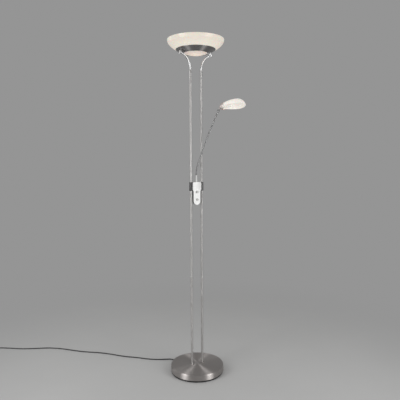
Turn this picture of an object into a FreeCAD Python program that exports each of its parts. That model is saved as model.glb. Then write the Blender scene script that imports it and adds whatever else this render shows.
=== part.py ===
import FreeCAD, Part
import math
import os
import Sketcher
from FreeCAD import Placement, Rotation, Vector

# Floor lamp: an uplight bowl on two slim poles, a control box between the poles, and a small
# reading light on a ribbed flexible arm that starts at the top of the box.
# Lengths are millimetres and angles are degrees. +Z is up, +X runs from the left pole to the
# right pole, and -Y is the front, where the knobs are. The origin lies on the floor, midway
# between the poles.

DIMENSIONS = [
    # fits
    ("fit_gap", 0.05),
    ("seat_gap", 0.3),
    # base
    ("pad_inset", 7),
    ("pad_height", 1.5),
    ("pan_inset", 3),
    ("pan_wall", 2.5),
    ("pan_floor", 1.5),
    ("pan_gap", 0.3),
    ("boss_circle", 90),
    ("boss_radius", 6),
    ("pan_screw_radius", 2),
    ("pan_screw_head", 4),
    ("pan_screw_bite", 10),
    ("weight_inset", 25),
    ("weight_bottom", 12),
    ("weight_headroom", 6),
    ("weight_edge", 2),
    ("cover_radius", 146),
    ("cover_foot", 10),
    ("cover_slant", 1),
    ("cover_edge_height", 42),
    ("cover_crown", 4),
    ("cover_sheet", 1.2),
    # poles
    ("pole_spacing", 64),
    ("pole_radius", 6),
    ("pole_wall", 1),
    ("pole_foot", 4.5),
    ("nut_across", 18),
    ("nut_height", 6),
    ("spacer_radius", 10),
    ("wire_radius", 2.2),
    # joint between pole and bent rod
    ("collar_radius", 7.2),
    ("collar_height", 8),
    ("collar_edge", 1),
    ("spigot_length", 20),
    ("rod_radius", 4),
    ("rod_bend", 89),
    ("rod_turn", 60),
    ("rod_end_gap", 5.6),
    ("eye_radius", 7),
    ("eye_width", 6),
    # uplight
    ("rim_height", 1800),
    ("bowl_radius", 150),
    ("bowl_depth", 49.8),
    ("bowl_knee_inset", 9),
    ("bowl_knee_height", 26.8),
    ("bowl_lower_arc", 110),
    ("bowl_upper_arc", 36),
    ("bowl_glass", 4),
    ("bowl_foot", 2.2),
    ("cup_radius", 105),
    ("cup_mouth_radius", 66),
    ("cup_angle", 26),
    ("cup_sheet", 1.5),
    ("cup_flange", 1.2),
    ("cup_lip_inset", 5.5),
    ("cup_lip_height", 6.8),
    ("cup_ledge_width", 3.5),
    ("diffuser_rim_gap", 1),
    ("diffuser_gap", 0.5),
    ("diffuser_drop", 10),
    ("diffuser_glass", 2.5),
    ("ring_width", 8),
    ("ring_height", 1.5),
    ("stud_circle", 86),
    ("stud_radius", 3),
    ("stud_spacer_radius", 4.5),
    ("stud_spacer_length", 7.5),
    ("cap_nut_radius", 5),
    ("cap_nut_length", 9),
    ("inner_nut_across", 10),
    ("inner_nut_height", 4),
    ("bracket_half_length", 75),
    ("bracket_width", 20),
    ("bracket_sheet", 1.5),
    ("bracket_lift", 3),
    ("holder_inner", 56),
    ("holder_length", 14),
    ("holder_width", 18),
    ("holder_height", 24),
    ("tube_lift", 14.5),
    ("tube_radius", 5),
    ("tube_cap_radius", 3.6),
    ("tube_cap_length", 11.5),
    ("cap_recess", 3),
    # control box
    ("box_bottom", 932),
    ("box_height", 122),
    ("box_grip", 4),
    ("tongue_inset", 6),
    ("shoulder_height", 76),
    ("shoulder_rise", 5),
    ("box_corner", 6),
    ("box_front", 8),
    ("box_seam", 5.5),
    ("box_wall", 2.5),
    ("box_round", 2),
    ("clamp_radius", 10),
    ("clamp_groove_drop", 11),
    ("clamp_groove_width", 2.4),
    ("clamp_groove_depth", 1),
    ("clamp_screw_radius", 2),
    ("clamp_screw_head", 3),
    ("cover_screw_radius", 1.2),
    ("cover_screw_head", 2.2),
    ("cover_screw_length", 11),
    ("cover_screw_inset", 6.2),
    ("upper_knob_height", 69),
    ("lower_knob_height", 28),
    ("knob_radius", 5.6),
    ("knob_length", 7),
    ("knob_gap", 0.7),
    ("shaft_radius", 2),
    ("dimmer_size", 16),
    ("dimmer_depth", 8),
    ("bushing_radius", 3.5),
    ("board_gap", 3),
    ("board_thickness", 1.6),
    ("board_bottom", 12),
    ("board_top_gap", 14),
    # flexible arm, drawn in the upright plane that it leans in
    ("arm_heading", -40),
    ("bush_radius", 4.6),
    ("bush_flange_radius", 6),
    ("bush_flange", 1.5),
    ("bush_length", 6),
    ("ferrule_height", 37),
    ("ferrule_radius", 5.5),
    ("ferrule_tip_radius", 4.1),
    ("ferrule_spigot_radius", 3.2),
    ("ferrule_spigot_length", 11.6),
    ("ferrule_bore", 1.6),
    ("clip_radius", 5),
    ("clip_width", 1.2),
    ("neck_radius", 4.1),
    ("neck_valley", 0.6),
    ("neck_bore", 2.3),
    ("neck_pitch", 2.4),
    ("neck_first_arc", 190),
    ("neck_first_turn", 18),
    ("neck_second_length", 296),
    ("neck_second_turn", 7),
    # knuckle and reading head
    ("fork_reach", 10),
    ("fork_radius", 4.5),
    ("cheek_radius", 5.5),
    ("cheek_width", 2.9),
    ("ear_width", 5.2),
    ("ear_gap", 0.2),
    ("pin_radius", 2),
    ("head_reach", 4),
    ("head_rise", 14),
    ("head_slope", 3.7),
    ("head_roll", 20),
    ("head_cut", 7),
    ("cap_mouth_radius", 24),
    ("cap_tip_radius", 5),
    ("cap_length", 24),
    ("cap_arc", 32),
    ("cap_wall", 1.2),
    ("cap_bore_radius", 15.8),
    ("cap_back", 9),
    ("shade_start", 17),
    ("shade_start_radius", 18.3),
    ("shade_crest", 94),
    ("shade_crest_radius", 37),
    ("shade_tip", 139),
    ("shade_nose_radius", 18),
    ("shade_glass", 3),
    ("shade_cut", 1),
    ("lampholder_radius", 9),
    ("lampholder_length", 12),
    ("capsule_radius", 7),
    ("capsule_length", 42),
    ("lamp_lift", 3),
    # mains cord
    ("cord_radius", 3),
    ("gland_heading", 110),
    ("gland_height", 7.5),
    ("gland_radius", 4.5),
    ("gland_tip_radius", 3.6),
    ("gland_length", 31),
    ("gland_inside", 4),
    ("terminal_radius", 64),
    ("terminal_length", 14),
    ("terminal_width", 22),
    ("terminal_height", 8),
    ("coil_inner_radius", 30),
    ("coil_pitch", 6.6),
    ("tail_straight", 26),
    ("tail_drop_length", 24),
    ("plug_length", 36),
    ("plug_width", 26),
    ("plug_tail_width", 15),
    ("plug_thickness", 13.6),
    ("plug_edge", 2.5),
    ("plug_relief_length", 14),
    ("plug_relief_radius", 4.4),
    ("plug_pin_radius", 2),
    ("plug_pin_length", 19),
    ("plug_pin_spacing", 18.6),
]

# The cord's route over the floor, from the tip of the gland to the coil: x, y and the height of
# its middle above the floor.
CORD_ROUTE = [
    (-67, 184, 7.5), (-85, 202, 5.0), (-131, 225, 3.0), (-185, 263, 3.0), (-237, 318, 3.0),
    (-297, 367, 3.0), (-351, 434, 3.0), (-413, 497, 3.0), (-482, 546, 3.0), (-542, 606, 3.0),
    (-602, 672, 3.0), (-670, 723, 3.0), (-747, 754, 3.0), (-820, 790, 3.0), (-883, 839, 3.0),
    (-942, 877, 3.0), (-1002, 904, 3.0),
]
RUN_SHARE = 0.45

# Turns of the coil below and above the point where the spiral reverses.
LOWER_TURNS = 1.75
UPPER_TURNS = 1.5

ROOT_THREE = 3 ** 0.5
AT_45_DEGREES = 0.5 ** 0.5

document = FreeCAD.newDocument("FloorLamp")
sheet = document.addObject("Spreadsheet::Sheet", "Sizes")


class Size:
    """A length or angle that keeps both its value and the cell formula that it comes from."""

    def __init__(self, value, text):
        self.value = value
        self.text = text

    def __add__(self, other):
        other = as_size(other)
        return Size(self.value + other.value, "(%s + %s)" % (self.text, other.text))

    def __sub__(self, other):
        other = as_size(other)
        return Size(self.value - other.value, "(%s - %s)" % (self.text, other.text))

    def __mul__(self, other):
        other = as_size(other)
        return Size(self.value * other.value, "(%s * %s)" % (self.text, other.text))

    def __truediv__(self, other):
        other = as_size(other)
        return Size(self.value / other.value, "(%s / %s)" % (self.text, other.text))

    def __neg__(self):
        return Size(-self.value, "(0 - %s)" % self.text)


def as_size(number):
    if isinstance(number, Size):
        return number
    return Size(float(number), "(%s)" % repr(number))


def sine(angle):
    return Size(math.sin(math.radians(angle.value)), "sin(%s * 1 deg)" % angle.text)


def cosine(angle):
    return Size(math.cos(math.radians(angle.value)), "cos(%s * 1 deg)" % angle.text)


def cap_radius(rise, run):
    """Radius of the circle that spans a half chord of run with a height of rise."""
    return (rise * rise + run * run) / (rise * 2)


class Cells:
    """Every driving dimension by name, as a Size."""


def fill_sheet():
    cells = Cells()
    for row, (alias, number) in enumerate(DIMENSIONS, start=1):
        sheet.set("A%d" % row, alias)
        sheet.set("B%d" % row, str(number))
        sheet.setAlias("B%d" % row, alias)
    document.recompute()
    for alias, number in DIMENSIONS:
        setattr(cells, alias, Size(float(sheet.get(alias)), "Sizes." + alias))
    return cells


d = fill_sheet()
sub_parts = []


def keep(obj, label):
    """Gives a finished sub-part its name and puts it on the list of parts."""
    obj.Label = label
    sub_parts.append(obj)
    return obj


def set_sizes(obj, **sizes):
    for name, number in sizes.items():
        obj.setExpression(name, as_size(number).text)
    return obj


def origin_plane(body, role):
    for feature in body.Origin.OriginFeatures:
        if feature.Role == role:
            return feature


# ---- sketches -------------------------------------------------------------------------------

def edge_between(start, end, radius):
    """A line, or an arc that bulges to the right of its direction where the radius is positive."""
    if radius is None:
        return Part.LineSegment(start, end)
    chord = end - start
    middle = (start + end) * 0.5
    left = Vector(-chord.y, chord.x, 0) / chord.Length
    depth = math.sqrt(max(radius * radius - chord.Length ** 2 / 4, 0))
    centre = middle + left * math.copysign(depth, radius)
    outward = (middle - centre).normalize()
    return Part.Arc(start, centre + outward * abs(radius), end)


def fix_point(sketch, edge, end, point):
    """Ties one end of an edge to its two sizes."""
    for kind, axis, number in (("DistanceX", -2, point[0]), ("DistanceY", -1, point[1])):
        if number.value == 0:
            sketch.addConstraint(Sketcher.Constraint("PointOnObject", edge, end, axis))
        else:
            index = sketch.addConstraint(Sketcher.Constraint(kind, edge, end, number.value))
            sketch.setExpression("Constraints[%d]" % index, number.text)


def new_sketch(body, role, name):
    sketch = body.newObject("Sketcher::SketchObject", name)
    sketch.AttachmentSupport = [(origin_plane(body, role), "")]
    sketch.MapMode = "FlatFace"
    return sketch


def outline(body, role, corners, name):
    """A closed outline. Each corner is (across, up) or (across, up, radius of the arc to it)."""
    sketch = new_sketch(body, role, name)
    points = [(as_size(corner[0]), as_size(corner[1])) for corner in corners]
    radii = [as_size(corner[2]) if len(corner) == 3 else None for corner in corners]
    places = [Vector(across.value, up.value, 0) for across, up in points]
    for index, place in enumerate(places):
        radius = radii[index].value if radii[index] else None
        sketch.addGeometry(edge_between(places[index - 1], place, radius), False)

    def end_at(edge, place):
        return 1 if (sketch.getPoint(edge, 1) - place).Length < 1e-6 else 2

    ends = [end_at(index, place) for index, place in enumerate(places)]
    starts = [end_at((index + 1) % len(places), place) for index, place in enumerate(places)]
    for index, end in enumerate(ends):
        following = (index + 1) % len(places)
        sketch.addConstraint(
            Sketcher.Constraint("Coincident", index, end, following, starts[index]))
    for index, end in enumerate(ends):
        fix_point(sketch, index, end, points[index])
        if radii[index]:
            size = radii[index] if radii[index].value > 0 else -radii[index]
            added = sketch.addConstraint(Sketcher.Constraint("Radius", index, size.value))
            sketch.setExpression("Constraints[%d]" % added, size.text)
    return sketch


def circles(body, role, rings, name):
    """A sketch of circles, each (across, up, radius)."""
    sketch = new_sketch(body, role, name)
    for index, (across, up, radius) in enumerate(rings):
        across, up, radius = as_size(across), as_size(up), as_size(radius)
        centre = Vector(across.value, up.value, 0)
        sketch.addGeometry(Part.Circle(centre, Vector(0, 0, 1), radius.value), False)
        fix_point(sketch, index, 3, (across, up))
        added = sketch.addConstraint(Sketcher.Constraint("Radius", index, radius.value))
        sketch.setExpression("Constraints[%d]" % added, radius.text)
    return sketch


# ---- solids ---------------------------------------------------------------------------------

def turned(label, corners, placement=Placement()):
    """A piece turned about its own Z axis, from corners (radius, height)."""
    body = document.addObject("PartDesign::Body", label)
    sketch = outline(body, "XZ_Plane", corners, label + "_profile")
    revolution = body.newObject("PartDesign::Revolution", label + "_turning")
    revolution.Profile = sketch
    revolution.ReferenceAxis = (sketch, ["V_Axis"])
    revolution.Angle = 360
    sketch.Visibility = False
    body.Placement = placement
    return body


def padded(label, role, corners, length, placement=Placement()):
    """A plate padded from an outline, along the normal of its plane."""
    body = document.addObject("PartDesign::Body", label)
    sketch = outline(body, role, corners, label + "_outline")
    pad = body.newObject("PartDesign::Pad", label + "_pad")
    pad.Profile = sketch
    set_sizes(pad, Length=length)
    body.Placement = placement
    return body


def pocket(body, sketch, length, reverse, label):
    cut_out = body.newObject("PartDesign::Pocket", label)
    cut_out.Profile = sketch
    cut_out.Reversed = reverse
    set_sizes(cut_out, Length=length)
    return cut_out


def round_edges(body, base, radius, chosen, label):
    """Rounds the edges of a body that the function chosen picks out."""
    document.recompute()
    names = [
        "Edge%d" % number
        for number, edge in enumerate(base.Shape.Edges, start=1) if chosen(edge)
    ]
    fillet = body.newObject("PartDesign::Fillet", label)
    fillet.Base = (base, names)
    set_sizes(fillet, Radius=radius)
    return fillet


def cylinder(label, radius, height, placement=Placement()):
    solid = document.addObject("Part::Cylinder", label)
    set_sizes(solid, Radius=radius, Height=height)
    solid.Placement = placement
    return solid


def block(label, length, width, height, placement=Placement()):
    solid = document.addObject("Part::Box", label)
    set_sizes(solid, Length=length, Width=width, Height=height)
    solid.Placement = placement
    return solid


def joined(label, solids):
    fusion = document.addObject("Part::MultiFuse", label)
    fusion.Shapes = solids
    return fusion


def cut(label, base, tools):
    difference = document.addObject("Part::Cut", label)
    difference.Base = base
    difference.Tool = tools[0] if len(tools) == 1 else joined(label + "_tools", tools)
    return difference


def modelled(label, shape, placement=Placement()):
    """A piece whose shape comes from Part's own functions."""
    feature = document.addObject("Part::Feature", label)
    feature.Shape = shape
    feature.Placement = placement
    return feature


# ---- places ---------------------------------------------------------------------------------

def at(x, y, z):
    return Placement(Vector(as_size(x).value, as_size(y).value, as_size(z).value), Rotation())


def axes(x_axis, y_axis, z_axis):
    return Rotation(x_axis, y_axis, z_axis, "XYZ")


ALONG_X = Rotation(Vector(0, 1, 0), 90)
ALONG_FRONT = Rotation(Vector(1, 0, 0), 90)
SIDES = (("left", -1), ("right", 1))

half_spacing = d.pole_spacing / 2
pole_bore = d.pole_radius - d.pole_wall
pole_hole = d.pole_radius + d.fit_gap
pan_radius = d.cover_radius - d.pan_inset
pan_top = d.cover_foot - d.pan_gap
pan_inside = d.pad_height + d.pan_floor
pad_radius = pan_radius - d.pad_inset
cover_edge_radius = d.cover_radius - d.cover_slant
cover_top = d.cover_edge_height + d.cover_crown
weight_radius = cover_edge_radius - d.weight_inset
weight_top = d.cover_edge_height - d.weight_headroom
spacer_outer = half_spacing + d.spacer_radius
cover_underside = cover_top - d.cover_crown * spacer_outer / cover_edge_radius - d.cover_sheet
seat_height = d.rim_height - d.bowl_depth
cup_top = seat_height - d.cup_flange
cup_slope = sine(d.cup_angle) / cosine(d.cup_angle)
cup_bottom = cup_top - (d.cup_radius - d.cup_mouth_radius) * cup_slope
cup_lip_radius = d.cup_radius - d.cup_lip_inset
cup_opening_radius = d.cup_mouth_radius - d.cup_ledge_width
bowl_knee_radius = d.bowl_radius - d.bowl_knee_inset
diffuser_radius = d.cup_mouth_radius - d.diffuser_rim_gap
diffuser_dome_radius = cup_opening_radius - d.diffuser_gap
bracket_height = cup_top + d.bracket_lift
tube_height = bracket_height + d.bracket_sheet + d.tube_lift
box_half_width = half_spacing - d.clamp_radius + d.box_grip
tongue_half_width = box_half_width - d.tongue_inset
board_half_width = tongue_half_width - d.box_wall - d.board_gap
box_top = d.box_bottom + d.box_height
neck_start = box_top + d.ferrule_height
gland_turn = Placement(Vector(0, 0, 0), Rotation(Vector(0, 0, 1), d.gland_heading.value))
arm_frame = Placement(Vector(0, 0, 0), Rotation(Vector(0, 0, 1), d.arm_heading.value))


# ---- base -----------------------------------------------------------------------------------

def boss_places(height):
    for quarter in range(4):
        angle = math.radians(45 + 90 * quarter)
        reach = d.boss_circle.value
        yield at(reach * math.cos(angle), reach * math.sin(angle), height)


def pole_places(height):
    for name, side in SIDES:
        yield at(half_spacing * side, 0, height)


def make_floor_pad():
    keep(turned("floor_pad", [
        (0, 0),
        (pad_radius, 0),
        (pad_radius, d.pad_height),
        (0, d.pad_height),
    ]), "floor_pad")


def gland_tool(label):
    """The round hole that the cord gland passes through."""
    place = gland_turn * Placement(Vector(weight_radius.value, 0, d.gland_height.value), ALONG_X)
    return cylinder(label, d.gland_radius + d.fit_gap, d.cover_radius - weight_radius + 5, place)


def make_base_pan():
    inner = pan_radius - d.pan_wall
    dish = turned("pan_dish", [
        (0, d.pad_height),
        (pan_radius, d.pad_height),
        (pan_radius, pan_top),
        (inner, pan_top),
        (inner, pan_inside),
        (0, pan_inside),
    ])
    bosses = [
        cylinder("pan_boss", d.boss_radius, d.weight_bottom - pan_inside, place)
        for place in boss_places(pan_inside)
    ]
    bores = [
        cylinder("pan_bore", d.pan_screw_radius + d.fit_gap, d.weight_bottom, place)
        for place in boss_places(0)
    ]
    recesses = [
        cylinder("pan_recess", d.pan_screw_head + d.fit_gap, d.pan_screw_head, place)
        for place in boss_places(d.pad_height)
    ]
    pan = joined("pan_with_bosses", [dish] + bosses)
    keep(cut("base_pan", pan, bores + recesses + [gland_tool("pan_gland_hole")]), "base_pan")


def make_pan_screws():
    screws = [
        turned("pan_screw", [
            (0, 0),
            (d.pan_screw_head, 0),
            (d.pan_screw_head, d.pan_screw_head),
            (d.pan_screw_radius, d.pan_screw_head),
            (d.pan_screw_radius, d.weight_bottom + d.pan_screw_bite - d.pad_height),
            (0, d.weight_bottom + d.pan_screw_bite - d.pad_height),
        ], place)
        for place in boss_places(d.pad_height)
    ]
    keep(joined("pan_screws", screws), "pan_screws")


def make_base_weight():
    edge = d.weight_edge
    disc = turned("weight_disc", [
        (0, d.weight_bottom),
        (weight_radius - edge, d.weight_bottom),
        (weight_radius, d.weight_bottom + edge),
        (weight_radius, weight_top - edge),
        (weight_radius - edge, weight_top),
        (0, weight_top),
    ])
    holes = [
        cylinder("weight_pole_hole", pole_hole, weight_top, place) for place in pole_places(0)
    ]
    bite = d.weight_bottom + d.pan_screw_bite + d.seat_gap
    holes += [cylinder("weight_screw_hole", d.pan_screw_radius, bite, place)
              for place in boss_places(0)]
    keep(cut("base_weight", disc, holes), "base_weight")


def make_base_cover():
    """The brushed cover: an upright band up to a plain edge, and a slightly conical top."""
    shell = turned("cover_shell", [
        (d.cover_radius - d.cover_sheet, d.cover_foot),
        (d.cover_radius, d.cover_foot),
        (cover_edge_radius, d.cover_edge_height),
        (0, cover_top),
        (0, cover_top - d.cover_sheet),
        (cover_edge_radius - d.cover_sheet, d.cover_edge_height - d.cover_sheet),
    ])
    holes = [
        cylinder("cover_pole_hole", pole_hole, d.cover_edge_height, place)
        for place in pole_places(d.cover_foot)
    ]
    keep(cut("base_cover", shell, holes + [gland_tool("cover_gland_hole")]), "base_cover")


def hex_nut(across, height, bore, place):
    prism = document.addObject("Part::Prism", "nut_body")
    prism.Polygon = 6
    set_sizes(prism, Circumradius=across / ROOT_THREE, Height=height)
    prism.Placement = place
    return cut("nut", prism, [cylinder("nut_bore", bore, height, place)])


def make_pole_nuts():
    nuts = []
    for height in (d.weight_bottom - d.nut_height, weight_top):
        nuts += [hex_nut(d.nut_across, d.nut_height, pole_hole, place)
                 for place in pole_places(height)]
    keep(joined("pole_nuts", nuts), "pole_nuts")


def make_cover_spacers():
    bottom = weight_top + d.nut_height
    rings = [
        turned("cover_spacer", [
            (pole_hole, bottom),
            (d.spacer_radius, bottom),
            (d.spacer_radius, cover_underside),
            (pole_hole, cover_underside),
        ], place)
        for place in pole_places(0)
    ]
    keep(joined("cover_spacers", rings), "cover_spacers")


def make_poles():
    for name, side in SIDES:
        place = at(half_spacing * side, 0, 0)
        keep(turned(name + "_pole", [
            (pole_bore, d.pole_foot),
            (d.pole_radius, d.pole_foot),
            (d.pole_radius, pole_top),
            (pole_bore, pole_top),
        ], place), name + "_pole")


def make_pole_wires():
    """Twin flex inside the poles: mains up the left one to the box, uplight feed up the right."""
    reach = half_spacing - pole_bore + d.wire_radius + d.seat_gap
    middle = d.box_bottom + d.shoulder_height
    length = middle - d.pole_foot
    keep(cylinder("mains_wire", d.wire_radius, length, at(-reach, 0, d.pole_foot)), "mains_wire")
    rest = pole_top - d.spigot_length - middle
    keep(cylinder("uplight_wire", d.wire_radius, rest, at(reach, 0, middle)), "uplight_wire")


# ---- bent rods and what bolts them to the uplight ---------------------------------------------

wall_rise = (d.stud_circle - d.cup_mouth_radius) * cup_slope
stud_foot_height = cup_bottom + wall_rise
eye_distance = d.stud_spacer_length + d.eye_width / 2
eye_reach = d.stud_circle + sine(d.cup_angle) * eye_distance
eye_height = stud_foot_height - cosine(d.cup_angle) * eye_distance
turn_sine = sine(d.rod_turn)
turn_cosine = cosine(d.rod_turn)
rod_across = eye_reach - half_spacing
rod_run = (rod_across - d.rod_bend * (as_size(1) - turn_cosine)) / turn_sine
rod_start = eye_height - d.rod_bend * turn_sine - rod_run * turn_cosine
pole_top = rod_start - d.collar_height


def stud_frame(side):
    """Origin on the outside of the cup wall, +Z straight out of the wall."""
    tilt = math.radians(d.cup_angle.value)
    out = Vector(side * math.sin(tilt), 0, -math.cos(tilt))
    across = Vector(0, 1, 0)
    foot = Vector(side * d.stud_circle.value, 0, stud_foot_height.value)
    return Placement(foot, axes(across, out.cross(across), out))


def make_pole_collars():
    for name, side in SIDES:
        bottom = pole_top - d.spigot_length
        keep(turned(name + "_collar", [
            (d.wire_radius + d.seat_gap, bottom),
            (pole_bore - d.fit_gap, bottom),
            (pole_bore - d.fit_gap, pole_top),
            (d.collar_radius, pole_top),
            (d.collar_radius, rod_start - d.collar_edge),
            (d.collar_radius - d.collar_edge, rod_start),
            (d.wire_radius + d.seat_gap, rod_start),
        ], at(half_spacing * side, 0, 0)), name + "_collar")


def make_bent_rods():
    for name, side in SIDES:
        start = Vector(side * half_spacing.value, 0, rod_start.value)
        outward = Vector(side, 0, 0)
        upward = Vector(0, 0, 1)
        centre = start + outward * d.rod_bend.value
        bend = document.addObject("Part::Torus", name + "_rod_bend")
        set_sizes(bend, Radius1=d.rod_bend, Radius2=d.rod_radius, Angle3=d.rod_turn)
        bend.Placement = Placement(
            centre, axes(-outward, upward, (-outward).cross(upward)))
        turn = math.radians(d.rod_turn.value)
        heading = outward * math.sin(turn) + upward * math.cos(turn)
        bend_end = centre - outward * (d.rod_bend.value * math.cos(turn)) \
            + upward * (d.rod_bend.value * math.sin(turn))
        level = Vector(0, 1, 0)
        straight = cylinder(name + "_rod_run", d.rod_radius, rod_run - d.rod_end_gap, Placement(
            bend_end, axes(level, heading.cross(level), heading)))
        eye_place = stud_frame(side) * at(0, 0, d.stud_spacer_length)
        eye = cylinder(name + "_rod_eye", d.eye_radius, d.eye_width, eye_place)
        hole = cylinder(name + "_eye_hole", d.stud_radius + d.fit_gap, d.eye_width, eye_place)
        solid = joined(name + "_rod_solid", [bend, straight, eye])
        keep(cut(name + "_rod", solid, [hole]), name + "_rod")


def make_stud_parts():
    thickness = d.cup_sheet * cosine(d.cup_angle)
    nuts = []
    cap_start = d.stud_spacer_length + d.eye_width
    for name, side in SIDES:
        frame = stud_frame(side)
        keep(turned(name + "_stud_spacer", [
            (d.stud_radius + d.fit_gap, 0),
            (d.stud_spacer_radius, 0),
            (d.stud_spacer_radius, d.stud_spacer_length),
            (d.stud_radius + d.fit_gap, d.stud_spacer_length),
        ], frame), name + "_stud_spacer")
        tip = cap_start + d.cap_nut_length
        dome = d.cap_nut_radius / 2
        bore_end = cap_start + d.cap_nut_length / 2
        keep(turned(name + "_cap_nut", [
            (d.stud_radius, cap_start),
            (d.cap_nut_radius, cap_start),
            (d.cap_nut_radius, tip - dome),
            (0, tip, cap_radius(dome, d.cap_nut_radius)),
            (0, bore_end),
            (d.stud_radius, bore_end),
        ], frame), name + "_cap_nut")
        inside = thickness + d.inner_nut_height + 1
        keep(cylinder(name + "_stud", d.stud_radius, inside + bore_end,
                      frame * at(0, 0, -inside)), name + "_stud")
        nut_foot = thickness + d.fit_gap * 2 + d.inner_nut_height
        nuts.append(hex_nut(d.inner_nut_across, d.inner_nut_height, d.stud_radius,
                            frame * at(0, 0, -nut_foot)))
    keep(joined("stud_nuts", nuts), "stud_nuts")


# ---- uplight --------------------------------------------------------------------------------

def make_uplight_cup():
    """A shallow spun cup: opening below for the diffuser, flange and lip above for the glass."""
    lip_inner = cup_lip_radius - d.cup_sheet

    def inner_cone(radius):
        return cup_bottom + (radius - d.cup_mouth_radius) * cup_slope + d.cup_sheet

    ledge = cup_bottom + d.cup_sheet
    shell = turned("cup_shell", [
        (cup_opening_radius, cup_bottom),
        (d.cup_mouth_radius, cup_bottom),
        (d.cup_radius, cup_top),
        (d.cup_radius, seat_height),
        (cup_lip_radius, seat_height),
        (cup_lip_radius, seat_height + d.cup_lip_height),
        (lip_inner, seat_height + d.cup_lip_height),
        (lip_inner, inner_cone(lip_inner)),
        (d.cup_mouth_radius, ledge),
        (cup_opening_radius, ledge),
    ])
    holes = [
        cylinder("cup_stud_hole", d.stud_radius + d.fit_gap, d.eye_width,
                 stud_frame(side) * at(0, 0, -d.eye_width / 2))
        for name, side in SIDES
    ]
    keep(cut("uplight_cup", shell, holes), "uplight_cup")


def make_glass_bowl():
    """The opal bowl: a shallow lower arc, a tight upper arc that ends upright at the rim."""
    inner_foot = cup_lip_radius + d.seat_gap
    step = d.bowl_glass * AT_45_DEGREES
    knee = seat_height + d.bowl_knee_height
    keep(turned("glass_bowl", [
        (inner_foot, seat_height),
        (d.cup_radius, seat_height),
        (bowl_knee_radius, knee, d.bowl_lower_arc),
        (d.bowl_radius, d.rim_height, d.bowl_upper_arc),
        (d.bowl_radius - d.bowl_glass, d.rim_height),
        (bowl_knee_radius - step, knee + step, d.bowl_glass - d.bowl_upper_arc),
        (inner_foot, seat_height + d.bowl_foot, d.bowl_glass - d.bowl_lower_arc),
    ]), "glass_bowl")


def make_lower_diffuser():
    """A domed opal dish that drops through the opening; its rim lies on the cup's ledge."""
    ledge = cup_bottom + d.cup_sheet
    top = ledge + d.diffuser_glass
    bottom = cup_bottom - d.diffuser_drop
    drop = ledge - bottom
    inner_run = diffuser_dome_radius - d.diffuser_glass
    keep(turned("lower_diffuser", [
        (0, bottom),
        (diffuser_dome_radius, ledge, cap_radius(drop, diffuser_dome_radius)),
        (diffuser_radius, ledge),
        (diffuser_radius, top),
        (inner_run, top),
        (0, bottom + d.diffuser_glass, -cap_radius(drop, inner_run)),
    ]), "lower_diffuser")


def make_diffuser_ring():
    bottom = cup_bottom + d.cup_sheet + d.diffuser_glass
    outer = diffuser_radius + d.ring_width / 4
    keep(turned("diffuser_ring", [
        (outer - d.ring_width, bottom),
        (outer, bottom),
        (outer, bottom + d.ring_height),
        (outer - d.ring_width, bottom + d.ring_height),
    ]), "diffuser_ring")


def make_lamp_bracket():
    """A bent steel strip: its legs stand on the cup wall and it carries the two lampholders."""
    half = d.bracket_half_length
    foot_radius = Size(
        math.hypot(half.value, d.bracket_width.value / 2),
        "sqrt(%s * %s + %s * %s / 4)" % (
            half.text, half.text, d.bracket_width.text, d.bracket_width.text))
    foot = cup_bottom + (foot_radius - d.cup_mouth_radius) * cup_slope + d.cup_sheet
    top = bracket_height + d.bracket_sheet
    inner = half - d.bracket_sheet
    keep(padded("lamp_bracket", "XZ_Plane", [
        (-half, foot),
        (-inner, foot),
        (-inner, bracket_height),
        (inner, bracket_height),
        (inner, foot),
        (half, foot),
        (half, top),
        (-half, top),
    ], d.bracket_width, at(0, d.bracket_width / 2, 0)), "lamp_bracket")


def make_lampholders():
    bottom = bracket_height + d.bracket_sheet
    for name, side in SIDES:
        start = d.holder_inner if side > 0 else -(d.holder_inner + d.holder_length)
        body = block(name + "_holder_body", d.holder_length, d.holder_width, d.holder_height,
                     at(start, -d.holder_width / 2, bottom))
        mouth = d.holder_inner if side > 0 else -(d.holder_inner + d.cap_recess)
        recess = cylinder(name + "_holder_recess", d.tube_cap_radius + d.seat_gap, d.cap_recess,
                          Placement(Vector(mouth.value, 0, tube_height.value), ALONG_X))
        keep(cut(name + "_lampholder", body, [recess]), name + "_lampholder")


def make_tube_lamp():
    """The linear lamp between the two holders: a clear tube with a ceramic cap at each end."""
    cap = d.holder_inner + d.cap_recess
    neck = cap - d.tube_cap_length
    keep(turned("tube_lamp", [
        (0, -cap),
        (d.tube_cap_radius, -cap),
        (d.tube_cap_radius, -neck),
        (d.tube_radius, -neck + (d.tube_radius - d.tube_cap_radius)),
        (d.tube_radius, neck - (d.tube_radius - d.tube_cap_radius)),
        (d.tube_cap_radius, neck),
        (d.tube_cap_radius, cap),
        (0, cap),
    ], Placement(Vector(0, 0, tube_height.value), ALONG_X)), "tube_lamp")


# ---- control box ----------------------------------------------------------------------------

def box_outline(width, tongue, bottom, top, shoulder, corner):
    """A tongue with a round bottom that widens at the shoulder, from below, right side first."""
    centre = bottom + tongue
    return [
        (-tongue, centre),
        (0, bottom, tongue),
        (tongue, centre, tongue),
        (tongue, shoulder),
        (width, shoulder + d.shoulder_rise),
        (width, top - corner),
        (width - corner, top, corner),
        (corner - width, top),
        (-width, top - corner, corner),
        (-width, shoulder + d.shoulder_rise),
        (-tongue, shoulder),
    ]


def clamp_tools(label):
    """The seats that the box hollows out round the two clamp sleeves."""
    return [
        cylinder(label, d.clamp_radius + d.fit_gap, d.box_height,
                 at(half_spacing * side, 0, d.box_bottom + d.shoulder_height))
        for name, side in SIDES
    ]


def knob_heights():
    return (("uplight", d.upper_knob_height), ("reading", d.lower_knob_height))


def clamp_screw_place(side, reach):
    height = d.box_bottom + (d.shoulder_height + d.box_height) / 2
    turn = ALONG_X if side > 0 else Rotation(Vector(0, 1, 0), -90)
    return Placement(Vector(side * reach.value, 0, height.value), turn)


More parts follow.
